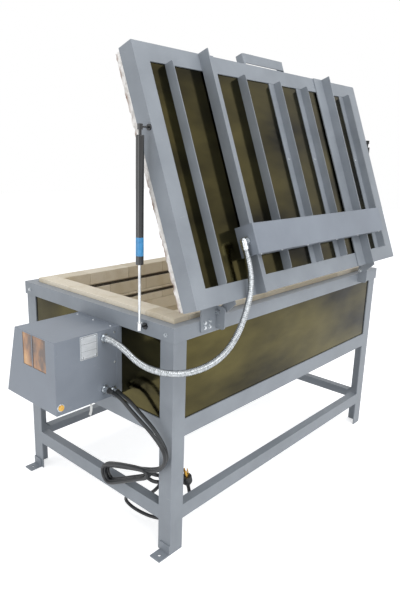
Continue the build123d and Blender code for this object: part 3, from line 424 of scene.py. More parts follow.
def finish(name):
    """Give a finish by its short name, made once."""
    makers = {
        "enamel": lambda: sprayed_enamel("satin grey enamel", "#8F959C", "#7E848B"),
        "enamel_box": lambda: sprayed_enamel("grey enamel on folded sheet", "#848B95", "#777E88"),
        "mirror": mirror_steel,
        "pan": pan_steel,
        "brick": insulating_brick,
        # The darker colour of each fibre finish is painted shade in its hollows
        "fibre": lambda: kiln_fibre("torn ceramic fibre", "#F6F3EF", "#C9C4BE", "rim_brown"),
        "board": lambda: kiln_fibre("fibre board", "#EFEBE4", "#D5D0C8"),
        "coil": coil_alloy,
        "zinc": lambda: zinc_plate("bright zinc plate", "#D6DADD", "#B4B9BD", 0.2, 0.38, 5.0),
        "conduit": lambda: zinc_plate("galvanised strip", "#BDC1C4", "#8F9396", 0.16, 0.28, 8.0),
        "window": amber_window,
        "lamp": lambda: moulded_plastic("amber lens", "#E8B23A", "#C98F22", 0.2, 0.6),
        "plate": printed_plate,
        "ink": lambda: moulded_plastic("grey margin ink", "#5A6068", "#4E545B", 0.5),
        "tag": lambda: moulded_plastic("white nylon", "#EDEDEA", "#DADAD6", 0.45),
        "jacket": jacket_rubber,
        "plug": lambda: moulded_plastic("black moulded rubber", "#26282B", "#18191B", 0.42),
        "strut": gloss_black,
        "chrome": lambda: zinc_plate("hard chrome", "#DADCDE", "#C4C6C8", 0.08, 0.16, 20.0),
        "sleeve": lambda: moulded_plastic("blue film sleeve", "#3E8FC4", "#2F7CB0", 0.3, 0.3),
        "brass": brass_blade,
    }
    if name not in FINISHES:
        FINISHES[name] = makers[name]()
    return FINISHES[name]


def link_piece(name, mesh, body, replaced=()):
    """Link a finished mesh as a piece that rides on a body, or on none when no body is given."""
    piece = bpy.data.objects.new(name, mesh)
    bpy.context.scene.collection.objects.link(piece)
    if body:
        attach(piece, body)
    if replaced:
        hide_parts(*replaced)
    return piece


def mesh_from(name, builder, material, smooth_angle=0.6):
    """Turn a bmesh into a mesh with one material; edges sharper than the angle stay sharp."""
    bmesh.ops.recalc_face_normals(builder, faces=builder.faces)
    for edge in builder.edges:
        edge.smooth = len(edge.link_faces) == 2 and edge.calc_face_angle(0.0) < smooth_angle
    for face in builder.faces:
        face.smooth = smooth_angle > 0
    mesh = bpy.data.meshes.new(name)
    builder.to_mesh(mesh)
    builder.free()
    mesh.materials.append(material)
    return mesh


def add_prism(builder, outline, start, end, axis, tint_layer=None, tint=0.0, ease=0.0):
    """Add a bar with a drawn outline from start to end along x or y, its long edges eased."""
    loops = []
    for along in (start, end):
        loop = []
        for across, up in outline:
            point = (along, across, up) if axis == "x" else (across, along, up)
            loop.append(builder.verts.new(row(point)))
        loops.append(loop)
    count = len(outline)
    faces = [builder.faces.new(loops[0]), builder.faces.new(loops[1])]
    for at in range(count):
        after = (at + 1) % count
        faces.append(builder.faces.new((loops[0][at], loops[0][after], loops[1][after], loops[1][at])))
    if ease:
        edges = {edge for face in faces for edge in face.edges}
        made = bmesh.ops.bevel(
            builder, geom=list(edges), offset=ease / 1000, segments=1, affect="EDGES", profile=0.5)
        faces = list({face for face in faces if face.is_valid} | set(made["faces"]))
    if tint_layer is not None:
        for face in faces:
            for loop in face.loops:
                loop.vert[tint_layer] = tint


def drum(name, profile, sides=24):
    """Make a closed lathe mesh round z from (radius, height) points in millimetres."""
    builder = bmesh.new()
    rings = []
    for radius, height in profile:
        if radius <= 0:
            rings.append([builder.verts.new((0, 0, height / 1000))])
            continue
        ring = []
        for at in range(sides):
            turn = 2 * math.pi * at / sides
            ring.append(builder.verts.new(
                (radius / 1000 * math.cos(turn), radius / 1000 * math.sin(turn), height / 1000)))
        rings.append(ring)
    for low, high in zip(rings, rings[1:]):
        for at in range(sides):
            after = (at + 1) % sides
            corners = (
                low[at % len(low)], low[after % len(low)], high[after % len(high)], high[at % len(high)])
            builder.faces.new(list(dict.fromkeys(corners)))
    for ring in (rings[0], rings[-1]):
        if len(ring) > 1:
            builder.faces.new(ring)
    return builder


def start_tree(name, inputs):
    """Start a Geometry Nodes tree with a geometry socket and named inputs."""
    tree = bpy.data.node_groups.new(name, "GeometryNodeTree")
    tree.interface.new_socket("Geometry", in_out="INPUT", socket_type="NodeSocketGeometry")
    for label, kind in inputs:
        tree.interface.new_socket(label, in_out="INPUT", socket_type=kind)
    tree.interface.new_socket("Geometry", in_out="OUTPUT", socket_type="NodeSocketGeometry")
    return tree, add_node(tree, "NodeGroupInput").outputs


def end_tree(tree, geometry, material):
    """End a tree in Realize Instances and Set Material."""
    real = add_node(tree, "GeometryNodeRealizeInstances", {}, {"Geometry": geometry})
    painted = add_node(
        tree, "GeometryNodeSetMaterial", {}, {"Geometry": real.outputs[0], "Material": material})
    out = add_node(tree, "NodeGroupOutput")
    tree.links.new(painted.outputs[0], out.inputs[0])


def grown(name, base, tree, values, body, replaced=()):
    """Run a tree on a base object and keep the result as a plain mesh piece."""
    holder = base
    bpy.context.scene.collection.objects.link(holder)
    modifier = holder.modifiers.new("tree", "NODES")
    modifier.node_group = tree
    sockets = {item.name: item.identifier for item in tree.interface.items_tree
               if item.in_out == "INPUT"}
    for label, value in values.items():
        modifier[sockets[label]] = value
    graph = bpy.context.evaluated_depsgraph_get()
    mesh = bpy.data.meshes.new_from_object(holder.evaluated_get(graph), depsgraph=graph)
    holder.modifiers.remove(modifier)
    bpy.data.objects.remove(holder)
    mesh.name = name
    return link_piece(name, mesh, body, replaced)


def coil_tree():
    """Tree that winds a coil of wire along X from each point, with a length, pitch, radius and wire."""
    tree, given = start_tree("wound coil", (
        ("Length", "NodeSocketFloat"), ("Turns", "NodeSocketFloat"), ("Radius", "NodeSocketFloat"),
        ("Wire", "NodeSocketFloat"), ("Heading", "NodeSocketRotation"), ("Material", "NodeSocketMaterial"),
    ))
    spiral = add_node(tree, "GeometryNodeCurveSpiral", {"Resolution": 9}, {
        "Rotations": given["Turns"], "Start Radius": given["Radius"],
        "End Radius": given["Radius"], "Height": given["Length"]})
    section = add_node(
        tree, "GeometryNodeCurvePrimitiveCircle", {"Resolution": 5}, {"Radius": given["Wire"]})
    wire = add_node(tree, "GeometryNodeCurveToMesh", {"Fill Caps": True}, {
        "Curve": spiral.outputs[0], "Profile Curve": section.outputs[0]})
    smooth = add_node(tree, "GeometryNodeSetShadeSmooth", {}, {"Geometry": wire.outputs[0]})
    placed = add_node(tree, "GeometryNodeInstanceOnPoints", {}, {
        "Points": given["Geometry"], "Instance": smooth.outputs[0], "Rotation": given["Heading"]})
    end_tree(tree, placed.outputs[0], given["Material"])
    return tree


def fastener_tree():
    """Tree that sets one fastener on each point, turned to the point's facing attribute."""
    tree, given = start_tree("set fasteners", (
        ("Fastener", "NodeSocketObject"), ("Material", "NodeSocketMaterial"), ("Seed", "NodeSocketInt"),
    ))
    head = add_node(tree, "GeometryNodeObjectInfo", {}, {"Object": given["Fastener"]})
    facing = add_node(
        tree, "GeometryNodeInputNamedAttribute", {"data_type": "FLOAT_VECTOR", "Name": "facing"})
    spin = add_node(tree, "FunctionNodeRandomValue", {"data_type": "FLOAT", 2: 0.0, 3: 6.28}, {
        "Seed": given["Seed"]})
    turned = add_node(tree, "ShaderNodeCombineXYZ", {}, {"Z": spin.outputs[1]})
    first = add_node(tree, "FunctionNodeEulerToRotation", {}, {0: turned.outputs[0]})
    aim = add_node(tree, "FunctionNodeAlignRotationToVector", {"axis": "Z"}, {
        "Rotation": first.outputs[0], "Vector": facing.outputs[0]})
    placed = add_node(tree, "GeometryNodeInstanceOnPoints", {}, {
        "Points": given["Geometry"], "Instance": head.outputs["Geometry"], "Rotation": aim.outputs[0]})
    end_tree(tree, placed.outputs[0], given["Material"])
    return tree


def conduit_tree():
    """Tree that gives a round tube the rounded ridges of wound strip, with a pitch and two radii."""
    tree, given = start_tree("wound strip", (
        ("Steps", "NodeSocketInt"), ("Crest", "NodeSocketFloat"), ("Valley", "NodeSocketFloat"),
        ("Sides", "NodeSocketInt"), ("Material", "NodeSocketMaterial"),
    ))
    line = add_node(tree, "GeometryNodeResampleCurve", {}, {
        "Curve": given["Geometry"], "Count": given["Steps"]})
    index = add_node(tree, "GeometryNodeInputIndex")
    step = add_node(
        tree, "ShaderNodeMath", {"operation": "MULTIPLY", 1: math.pi / 2}, {0: index.outputs[0]})
    wave = add_node(tree, "ShaderNodeMath", {"operation": "COSINE"}, {0: step.outputs[0]})
    size = add_node(tree, "ShaderNodeMapRange", {"From Min": -1.0, "From Max": 0.3}, {
        "Value": wave.outputs[0], "To Min": given["Valley"], "To Max": given["Crest"]})
    section = add_node(
        tree, "GeometryNodeCurvePrimitiveCircle", {"Radius": 1.0}, {"Resolution": given["Sides"]})
    tube = add_node(tree, "GeometryNodeCurveToMesh", {"Fill Caps": True}, {
        "Curve": line.outputs[0], "Profile Curve": section.outputs[0], "Scale": size.outputs[0]})
    smooth = add_node(tree, "GeometryNodeSetShadeSmooth", {}, {"Geometry": tube.outputs[0]})
    end_tree(tree, smooth.outputs[0], given["Material"])
    return tree


def floor_tree():
    """Tree that lays bricks on a grid of points, each with its own tint."""
    tree, given = start_tree("laid bricks", (
        ("Brick", "NodeSocketObject"), ("Material", "NodeSocketMaterial"), ("Seed", "NodeSocketInt"),
    ))
    brick = add_node(tree, "GeometryNodeObjectInfo", {}, {"Object": given["Brick"]})
    placed = add_node(tree, "GeometryNodeInstanceOnPoints", {}, {
        "Points": given["Geometry"], "Instance": brick.outputs["Geometry"]})
    tint = add_node(tree, "FunctionNodeRandomValue", {"data_type": "FLOAT", 2: 0.15, 3: 0.95}, {
        "Seed": given["Seed"]})
    tinted = add_node(tree, "GeometryNodeStoreNamedAttribute", {"domain": "INSTANCE", "Name": "tint"}, {
        "Geometry": placed.outputs[0]})
    tree.links.new(tint.outputs[1], tinted.inputs["Value"])
    end_tree(tree, tinted.outputs[0], given["Material"])
    return tree


def point_cloud(name, points, facings=None):
    """Make an object of loose points, each with the way it faces."""
    mesh = bpy.data.meshes.new(name)
    mesh.from_pydata([tuple(point) for point in points], [], [])
    if facings:
        layer = mesh.attributes.new("facing", "FLOAT_VECTOR", "POINT")
        layer.data.foreach_set("vector", [value for facing in facings for value in facing])
    return bpy.data.objects.new(name, mesh)


class KilnFinishes(bpy.types.PropertyGroup):
    """Lights and floor of the stage."""

    floor_colour: FloatVectorProperty(
        name="Floor", description="Colour of the floor", default=(0.86, 0.86, 0.86), subtype="COLOR")
    key_power: FloatProperty(
        name="Key light", description="Power of the large soft light", default=95.0, unit="POWER")
    fill_power: FloatProperty(
        name="Fill light", description="Power of the low front light", default=34.0, unit="POWER")


class KilnCoils(bpy.types.PropertyGroup):
    """Sizes of the heating coils."""

    coil_radius: FloatProperty(
        name="Coil radius", description="Radius of the coil's centre line", default=0.0047, unit="LENGTH")
    wire_radius: FloatProperty(
        name="Wire radius", description="Radius of the wire", default=0.0012, unit="LENGTH")
    pitch: FloatProperty(
        name="Pitch", description="Distance between turns", default=0.0075, unit="LENGTH")


class KilnBricks(bpy.types.PropertyGroup):
    """Sizes of the firebricks."""

    brick_length: FloatProperty(
        name="Length", description="Length of a brick", default=0.229, unit="LENGTH")
    joint: FloatProperty(
        name="Joint", description="Width of a joint", default=0.0014, unit="LENGTH")
    seed: IntProperty(name="Seed", description="Seed of the bricks' tints", default=4)


class KilnCords(bpy.types.PropertyGroup):
    """Sizes of the cords and the conduit."""

    cord_diameter: FloatProperty(
        name="Cord", description="Diameter of a supply cord", default=0.014, unit="LENGTH")
    conduit_diameter: FloatProperty(
        name="Conduit", description="Diameter of the flexible conduit", default=0.024, unit="LENGTH")
    strip_pitch: FloatProperty(
        name="Strip pitch", description="Width of the conduit's wound strip", default=0.0068, unit="LENGTH")


def set_camera():
    """Set the camera at the photograph's viewing angle, with the picture's small shift."""
    data = bpy.data.cameras.new("Camera")
    camera = bpy.data.objects.new("Camera", data)
    bpy.context.scene.collection.objects.link(camera)
    turn = Matrix((
        (CAMERA_RIGHT[0], -CAMERA_DOWN[0], -CAMERA_AHEAD[0]),
        (CAMERA_RIGHT[1], -CAMERA_DOWN[1], -CAMERA_AHEAD[1]),
        (CAMERA_RIGHT[2], -CAMERA_DOWN[2], -CAMERA_AHEAD[2]),
    ))
    camera.matrix_world = Matrix.Translation(row(CAMERA_PLACE)) @ turn.to_4x4()
    long_side = max(PICTURE)
    data.sensor_fit = "AUTO"
    data.sensor_width = 36.0
    data.lens = CAMERA_FOCAL / long_side * data.sensor_width
    data.shift_x = (PICTURE[0] / 2 - CAMERA_CENTRE[0]) / long_side
    data.shift_y = (CAMERA_CENTRE[1] - PICTURE[1] / 2) / long_side
    data.clip_start = 0.05
    data.clip_end = 60.0
    bpy.context.scene.camera = camera


def add_lamp(name, place, target, size, power):
    """Hang one large soft lamp that looks at a point."""
    data = bpy.data.lights.new(name, "AREA")
    data.shape = "RECTANGLE"
    data.size, data.size_y = size
    data.energy = power
    lamp = bpy.data.objects.new(name, data)
    bpy.context.scene.collection.objects.link(lamp)
    lamp.location = place
    aim = Vector(target) - Vector(place)
    lamp.rotation_mode = "QUATERNION"
    lamp.rotation_quaternion = aim.to_track_quat("-Z", "Y")


class KILN_OT_stage(bpy.types.Operator):
    """Set the camera, the pale floor and the soft lamps"""

    bl_idname = "kiln.stage"
    bl_label = "Stage and camera"

    def execute(self, context):
        set_camera()
        looks = context.scene.kiln_finishes
        world = bpy.data.worlds.new("World")
        context.scene.world = world
        world.use_nodes = True
        tree = world.node_tree
        ground = tree.nodes["Background"]
        ground.inputs["Color"].default_value = (0.93, 0.95, 0.98, 1.0)
        ground.inputs["Strength"].default_value = 0.62
        white = add_node(tree, "ShaderNodeBackground", {"Color": (1.0, 1.0, 1.0, 1.0), "Strength": 1.0})
        mixed = add_seen(tree, ground.outputs[0], white.outputs[0])
        tree.links.new(mixed, tree.nodes["World Output"].inputs["Surface"])

        builder = bmesh.new()
        bmesh.ops.create_grid(builder, x_segments=1, y_segments=1, size=14.0)
        mesh = bpy.data.meshes.new("floor")
        builder.to_mesh(mesh)
        builder.free()
        floor = bpy.data.objects.new("floor", mesh)
        floor.location = (0.0, 0.0, -0.001)
        context.scene.collection.objects.link(floor)
        material, tree, shader, place = start_material("pale studio floor")
        mottle = add_noise(tree, place, 900.0, 2.0)
        tree.links.new(add_blend(tree, mottle, "#F2F2F2", "#F7F7F7"), shader.inputs["Base Color"])
        shader.inputs["Roughness"].default_value = 0.9
        shader.inputs["Specular IOR Level"].default_value = 0.1
        # The camera and mirrors see the floor near white; what it throws back on the kiln stays plain
        pale = add_node(tree, "ShaderNodeEmission", {"Color": (1.0, 1.0, 1.0, 1.0), "Strength": 0.6})
        both = add_node(tree, "ShaderNodeAddShader", {}, {0: shader.outputs[0], 1: pale.outputs[0]})
        mixed = add_seen(tree, shader.outputs[0], both.outputs[0])
        tree.links.new(mixed, tree.nodes["Material Output"].inputs["Surface"])
        mesh.materials.append(material)

        middle = row((100.0, 100.0, 900.0))
        add_lamp("key", row((900.0, 3600.0, 3400.0)), middle, (3.4, 2.6), looks.key_power)
        add_lamp("fill", row((4300.0, 300.0, 1500.0)), middle, (2.6, 2.6), looks.fill_power)
        add_lamp("top", row((0.0, 0.0, 4600.0)), middle, (3.6, 3.6), looks.fill_power)
        context.scene.view_settings.view_transform = "Standard"
        return {"FINISHED"}


# Routes of the cords, in millimetres from the body's middle, as the solids have them
CORD_1_DOWN = (
    (835.0, 203.8, 608.0), (835.0, 258.0, 608.0), (830.0, 330.0, 562.0), (818.0, 415.0, 512.0),
    (804.0, 474.0, 446.0), (796.0, 448.0, 376.0), (794.0, 384.0, 338.0),
)
CORD_2_DOWN = (
    (797.0, 203.8, 590.0), (797.0, 250.0, 590.0), (788.0, 318.0, 546.0), (779.0, 398.0, 494.0),
    (774.0, 452.0, 428.0), (772.0, 428.0, 366.0), (771.0, 374.0, 332.0),
)
LEAD_1 = (
    (778.0, 350.0, 316.0), (764.0, 377.0, 308.0), (734.0, 376.0, 292.0), (714.0, 352.0, 232.0),
    (706.0, 312.0, 184.0), (704.0, 252.0, 122.0), (704.0, 190.0, 98.0), (700.0, 136.0, 74.0),
    (692.0, 126.0, 40.0), (690.0, 182.0, 28.0), (682.0, 280.0, 34.0), (640.0, 350.0, 40.0),
    (604.0, 384.0, 58.0), (594.0, 400.0, 104.0), (596.0, 398.0, 158.0), (604.0, 394.0, 200.0),
)
LEAD_2 = (
    (780.0, 334.0, 296.0), (764.0, 371.0, 274.0), (730.0, 388.0, 272.0), (692.0, 392.0, 284.0),
    (688.0, 392.0, 252.0), (688.0, 392.0, 236.0),
)
# Depth of the conduit's ridges, in metres
RIDGE_DEEP = 0.0028
CONDUIT_ROUTE = (
    (835.0, 203.8, 805.0), (835.0, 262.0, 805.0), (840.0, 390.0, 754.0), (816.0, 512.0, 756.0),
    (735.0, 560.0, 766.0), (640.0, 572.0, 792.0), (562.0, 570.0, 848.0), (512.0, 566.0, 930.0),
    (486.0, 562.0, 1010.0),
)
HANK_LOW = Vector((148.0, 226.0))
HANK_HIGH = Vector((360.0, 318.0))
# Each turn's place across, its radius at the low and high end, and how far its top side bulges
HANK_TURNS = ((797.0, 38.0, 13.0, 9.0), (790.0, 33.0, 12.0, 0.0), (783.0, 40.0, 11.0, 3.0))
INNER_TURN = (776.0, 30.0, 9.0, 0.0)


def hank_turn(layer, wide, narrow, lift=0.0):
    """Give the points of one turn of the hank, from its narrow top side round and back."""
    along = (HANK_HIGH - HANK_LOW).normalized()
    over = Vector((-along.y, along.x))
    points = []

    def put(centre, radius, angle, across):
        spot = centre + radius * (math.cos(angle) * over - math.sin(angle) * along)
        points.append((layer + across, spot.x, spot.y))

    for share in (0.8, 0.5, 0.22):
        radius = narrow * share + wide * (1 - share) + lift * math.sin(math.pi * share)
        put(HANK_LOW.lerp(HANK_HIGH, share), radius, 0.0, 0.0)
    for turn in (20, 56, 92, 128, 164):
        put(HANK_LOW, wide * 1.04, math.radians(turn), turn / 60.0)
    for share in (0.25, 0.52, 0.8):
        radius = narrow * share + wide * (1 - share)
        put(HANK_LOW.lerp(HANK_HIGH, share), radius, math.pi, 3.0)
    for turn in (205, 270, 335):
        put(HANK_HIGH, narrow * 1.1, math.radians(turn), 4.0)
    return points


def route_curve(name, points, radius, material):
    """Make a cord of one open NURBS spline through its route's control points."""
    data = bpy.data.curves.new(name, "CURVE")
    data.dimensions = "3D"
    spline = data.splines.new("NURBS")
    spline.points.add(len(points) - 1)
    for knot, point in zip(spline.points, points):
        knot.co = (*point, 1.0)
    spline.order_u = 3
    spline.use_endpoint_u = True
    data.resolution_u = 10
    data.bevel_depth = radius
    data.bevel_resolution = 5
    data.use_fill_caps = True
    if material:
        data.materials.append(material)
    cord = bpy.data.objects.new(name, data)
    bpy.context.scene.collection.objects.link(cord)
    return cord


def line_points(points):
    """Read the points of a route's NURBS line, as Blender gives them for a curve with no bevel."""
    cord = route_curve("line", points, 0.0, None)
    mesh = bpy.data.meshes.new_from_object(cord)
    read = [vert.co.copy() for vert in mesh.vertices]
    bpy.data.meshes.remove(mesh)
    bpy.data.objects.remove(cord)
    return read


def line_length(points):
    """Add up a line's length."""
    return sum((after - here).length for here, after in zip(points, points[1:]))


def bend_relief(name, start, ahead, wide, narrow, reach, material):
    """Make the tapered relief where a cord leaves its gland, ribbed at its neck."""
    profile = [(wide, 0.0), (wide, 3.0)]
    ribs = 5
    for rib in range(ribs):
        share = rib / ribs
        radius = wide + (narrow - wide) * share
        low = 3.0 + (reach - 3.0) * share
        profile += [(radius, low + 1.0), (radius, low + 3.2)]
        profile += [(radius - 1.1, low + 3.8), (radius - 1.1, low + 4.6)]
    profile += [(narrow, reach), (narrow - 0.6, reach + 0.8)]
    builder = drum(name, profile, 24)
    turn = Vector(ahead).to_track_quat("Z", "Y").to_matrix().to_4x4()
    bmesh.ops.transform(builder, matrix=Matrix.Translation(start) @ turn, verts=builder.verts)
    return link_piece(name, mesh_from(name, builder, material), "body")


def plug_piece(name, end, ahead, node):
    """Make a moulded plug: stepped neck, body with a grip band, two brass blades and an earth pin."""
    builder = drum(name, (
        (8.2, -1.0), (10.0, 1.0), (10.0, 4.0), (11.5, 5.0), (13.6, 6.4), (13.6, 8.8), (16.4, 10.0),
        (19.0, 13.0), (20.6, 16.0), (21.0, 19.0), (21.0, 26.0), (20.0, 27.0), (20.0, 30.0), (21.0, 31.0),
        (21.0, 39.0), (19.6, 41.6), (0.0, 42.0),
    ), 32)
    turn = Vector(ahead).to_track_quat("Z", "Y").to_matrix().to_4x4()
    place = Matrix.Translation(end) @ turn
    bmesh.ops.transform(builder, matrix=place, verts=builder.verts)
    mesh = mesh_from(name, builder, finish("plug"))
    plug = link_piece(name, mesh, "body", (node,))
    blades = bmesh.new()
    for across, deep, width in ((-10.0, 0.0, 8.0), (10.0, 0.0, 8.0)):
        made = bmesh.ops.create_cube(blades, size=1.0)
        for vert in made["verts"]:
            vert.co = Vector((
                vert.co.x * 0.002 + across / 1000, vert.co.y * width / 1000 + deep / 1000,
                (vert.co.z + 0.5) * 0.0295 + 0.042))
    made = bmesh.ops.create_cone(
        blades, cap_ends=True, segments=14, radius1=0.0029, radius2=0.0022, depth=0.0295)
    for vert in made["verts"]:
        vert.co += Vector((0.0, 0.010, 0.0568))
    bmesh.ops.bevel(blades, geom=[e for e in blades.edges if e.calc_face_angle(0.0) > 0.6],
                    offset=0.0004, segments=1, affect="EDGES")
    bmesh.ops.transform(blades, matrix=place, verts=blades.verts)
    pins = link_piece(name + "_blades", mesh_from(name + "_blades", blades, finish("brass"), 0.4), "body")
    return plug, pins


class KILN_OT_cords(bpy.types.Operator):
    """Lay the two supply cords, their hank, leads and plugs"""

    bl_idname = "kiln.cords"
    bl_label = "Supply cords"

    def execute(self, context):
        diameter = context.scene.kiln_cords.cord_diameter
        outer = []
        for turn in HANK_TURNS:
            outer += hank_turn(*turn)
        inner = hank_turn(*INNER_TURN)
        routes = (
            ("supply_cord_1", CORD_1_DOWN, outer, LEAD_1,
             ("supply_cord_1", "cord_hank", "plug_lead_1"), "plug_1"),
            ("supply_cord_2", CORD_2_DOWN, inner, LEAD_2,
             ("supply_cord_2", "plug_lead_2"), "plug_2"),
        )
        for name, down, turns, lead, replaced, plug_node in routes:
            points = [row(point) for point in (*down, *turns, *lead)]
            length = line_length(line_points(points))
            cord = route_curve("flex_" + name, points, diameter / 2, finish("jacket"))
            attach(cord, "body")
            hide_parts(*replaced)
            ahead = points[-1] - points[-2]
            plug, pins = plug_piece("moulded_" + plug_node, points[-1], ahead, plug_node)
            relief = bend_relief(
                "relief_" + name, points[0], points[1] - points[0],
                10.5, 7.8, 24.0, finish("plug"))
        return {"FINISHED"}


class KILN_OT_conduit(bpy.types.Operator):
    """Hang the flexible conduit between the control box and the wiring cover"""

    bl_idname = "kiln.conduit"
    bl_label = "Flexible conduit"

    def execute(self, context):
        sizes = context.scene.kiln_cords
        last = opened((PORT_X, PORT_Y + 3 * PORT_REACH, LID_TOP + PORT_RISE))
        end = opened((PORT_X, PORT_Y + PORT_REACH, LID_TOP + PORT_RISE))
        points = [row(point) for point in CONDUIT_ROUTE] + [last, end]
        path = line_points(points)
        length = line_length(path)
        base = route_curve("conduit_line", points, 0.0, None)
        bpy.context.scene.collection.objects.unlink(base)
        steps = int(length / sizes.strip_pitch) * 4 + 1
        conduit = grown("flex_conduit", base, conduit_tree(), {
            "Steps": steps, "Crest": sizes.conduit_diameter / 2,
            "Valley": sizes.conduit_diameter / 2 - RIDGE_DEEP,
            "Sides": 20, "Material": finish("conduit"),
        }, "", ("flexible_conduit",))
        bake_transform(conduit)
        return {"FINISHED"}


class KILN_OT_finishes(bpy.types.Operator):
    """Give every node that stays its finish"""

    bl_idname = "kiln.finishes"
    bl_label = "Finishes of the solids"

    def execute(self, context):
        table = {
            "enamel": ("leg_right_front", "leg_right_rear", "leg_left_front", "leg_left_rear", "foot_tabs",
                       "top_rails_end", "top_rails_side", "low_rails_end", "low_rails_side", "stretchers_end",
                       "stretchers_side", "hinge_brackets", "lid_frame_ends", "lid_frame_sides",
                       "lid_short_ribs", "lid_long_ribs", "hinge_lugs", "lid_handle"),
            "enamel_box": ("control_box_base", "control_box_hood", "wiring_cover"),
            "mirror": ("panels_end", "panels_side", "lid_panel"),
            "pan": ("floor_pan",),
            "board": ("backing_insulation",),
            "zinc": ("hinge_bolts", "cord_glands", "conduit_connector", "cover_connector"),
            "window": ("display_pane",),
            "lamp": ("lamp",),
            "plate": ("blank_plate",),
            "tag": ("tag",),
            "strut": ("strut_tube_right", "strut_tube_left", "strut_head_right", "strut_head_left",
                      "strut_studs_lower", "strut_studs_upper"),
            "chrome": ("strut_rod_right", "strut_rod_left"),
        }
        for key, nodes in table.items():
            for node in nodes:
                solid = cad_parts[node]
                for slot in solid.material_slots:
                    slot.material = finish(key)
                if not solid.material_slots:
                    raise RuntimeError(f"{node} has no material slot")
        return {"FINISHED"}


class KILN_OT_bricks(bpy.types.Operator):
    """Lay the brick floor and build the grooved brick walls"""

    bl_idname = "kiln.bricks"
    bl_label = "Brick lining"

    def execute(self, context):
        sizes = context.scene.kiln_bricks
        joint = sizes.joint * 1000
        draw = random.Random(sizes.seed)
        length = sizes.brick_length * 1000

        # Floor bricks on a grid, one loose brick drawn once
        across = 6
        down = 7
        pitch_x = 2 * BRICK_X / across
        pitch_y = 2 * BRICK_Y / down
        builder = bmesh.new()
        made = bmesh.ops.create_cube(builder, size=1.0)
        for vert in made["verts"]:
            vert.co.x *= (pitch_x - joint) / 1000
            vert.co.y *= (pitch_y - joint) / 1000
            vert.co.z *= (FLOOR_TOP - FLOOR_UNDER) / 1000
        bmesh.ops.bevel(builder, geom=builder.edges[:], offset=0.0012, segments=1, affect="EDGES")
        brick = bpy.data.objects.new("loose_brick", mesh_from("loose_brick", builder, finish("brick"), 0.0))
        context.scene.collection.objects.link(brick)
        spots = []
        for at_x in range(across):
            for at_y in range(down):
                spots.append(row((
                    -BRICK_X + pitch_x * (at_x + 0.5), -BRICK_Y + pitch_y * (at_y + 0.5),
                    (FLOOR_TOP + FLOOR_UNDER) / 2)))
        grown("floor_bricks", point_cloud("floor_spots", spots), floor_tree(), {
            "Brick": brick, "Material": finish("brick"), "Seed": sizes.seed,
        }, "body", ("brick_floor",))
        bpy.data.objects.remove(brick)

        # Wall bricks: courses of equal height, the grooved ones cut round their coil
        courses = 5
        rise = (BRICK_TOP - FLOOR_TOP) / courses
        for wall, inner, outer, run, axis, node in (
            ("end_wall_bricks", CHAMBER_X, BRICK_X, BRICK_Y, "y", "brick_walls_end"),
            ("side_wall_bricks", CHAMBER_Y, BRICK_Y, CHAMBER_X, "x", "brick_walls_side"),
        ):
            builder = bmesh.new()
            tint_layer = builder.verts.layers.float.new("tint")
            for side in (1, -1):
                for course in range(courses):
                    low = FLOOR_TOP + rise * course + 0.4
                    high = FLOOR_TOP + rise * (course + 1) - (0.0 if course == courses - 1 else joint)
                    start = -run
                    first = length * (0.5 if course % 2 else 1.0)
                    while start < run - 1:
                        end = min(start + first, run)
                        if run - end < 40:
                            end = run
                        first = length
                        tint = draw.uniform(0.1, 1.0)
                        for from_end, to_end, grooved in wall_parts(start, end, axis == "y"):
                            outline = wall_outline(side, inner, outer, low, high, grooved)
                            add_prism(
                                builder, outline, from_end + joint / 2, to_end - joint / 2, axis,
                                tint_layer, tint, 0.9)
                        start = end
            mesh = mesh_from(wall, builder, finish("brick"), 0.0)
            link_piece(wall, mesh, "body", (node,))
        return {"FINISHED"}


def wall_parts(start, end, in_end_wall):
    """Split a brick of an end wall where its groove stops short of the side walls."""
    if not in_end_wall:
        return [(start, end, True)]
    limit = CHAMBER_Y + GROOVE_DEEP
    parts = []
    cuts = [start] + [cut for cut in (-limit, limit) if start < cut < end] + [end]
    for low, high in zip(cuts, cuts[1:]):
        parts.append((low, high, abs((low + high) / 2) < limit))
    return parts


def wall_outline(side, inner, outer, low, high, grooved):
    """Draw one course across the wall, with the grooves that fall in it."""
    outline = [(outer * side, low), (outer * side, high), (inner * side, high)]
    if grooved:
        for groove in GROOVE_HEIGHTS:
            top = min(groove + GROOVE_HALF, high)
            bottom = max(groove - GROOVE_HALF, low)
            if top - bottom < 1.0:
                continue
            if top >= high:
                outline[-1] = ((inner + GROOVE_DEEP) * side, high)
            else:
                outline.append((inner * side, top))
                outline.append(((inner + GROOVE_DEEP) * side, top))
            outline.append(((inner + GROOVE_DEEP) * side, bottom))
            if bottom > low:
                outline.append((inner * side, bottom))
    if outline[-1][1] > low:
        outline.append((inner * side, low))
    return outline


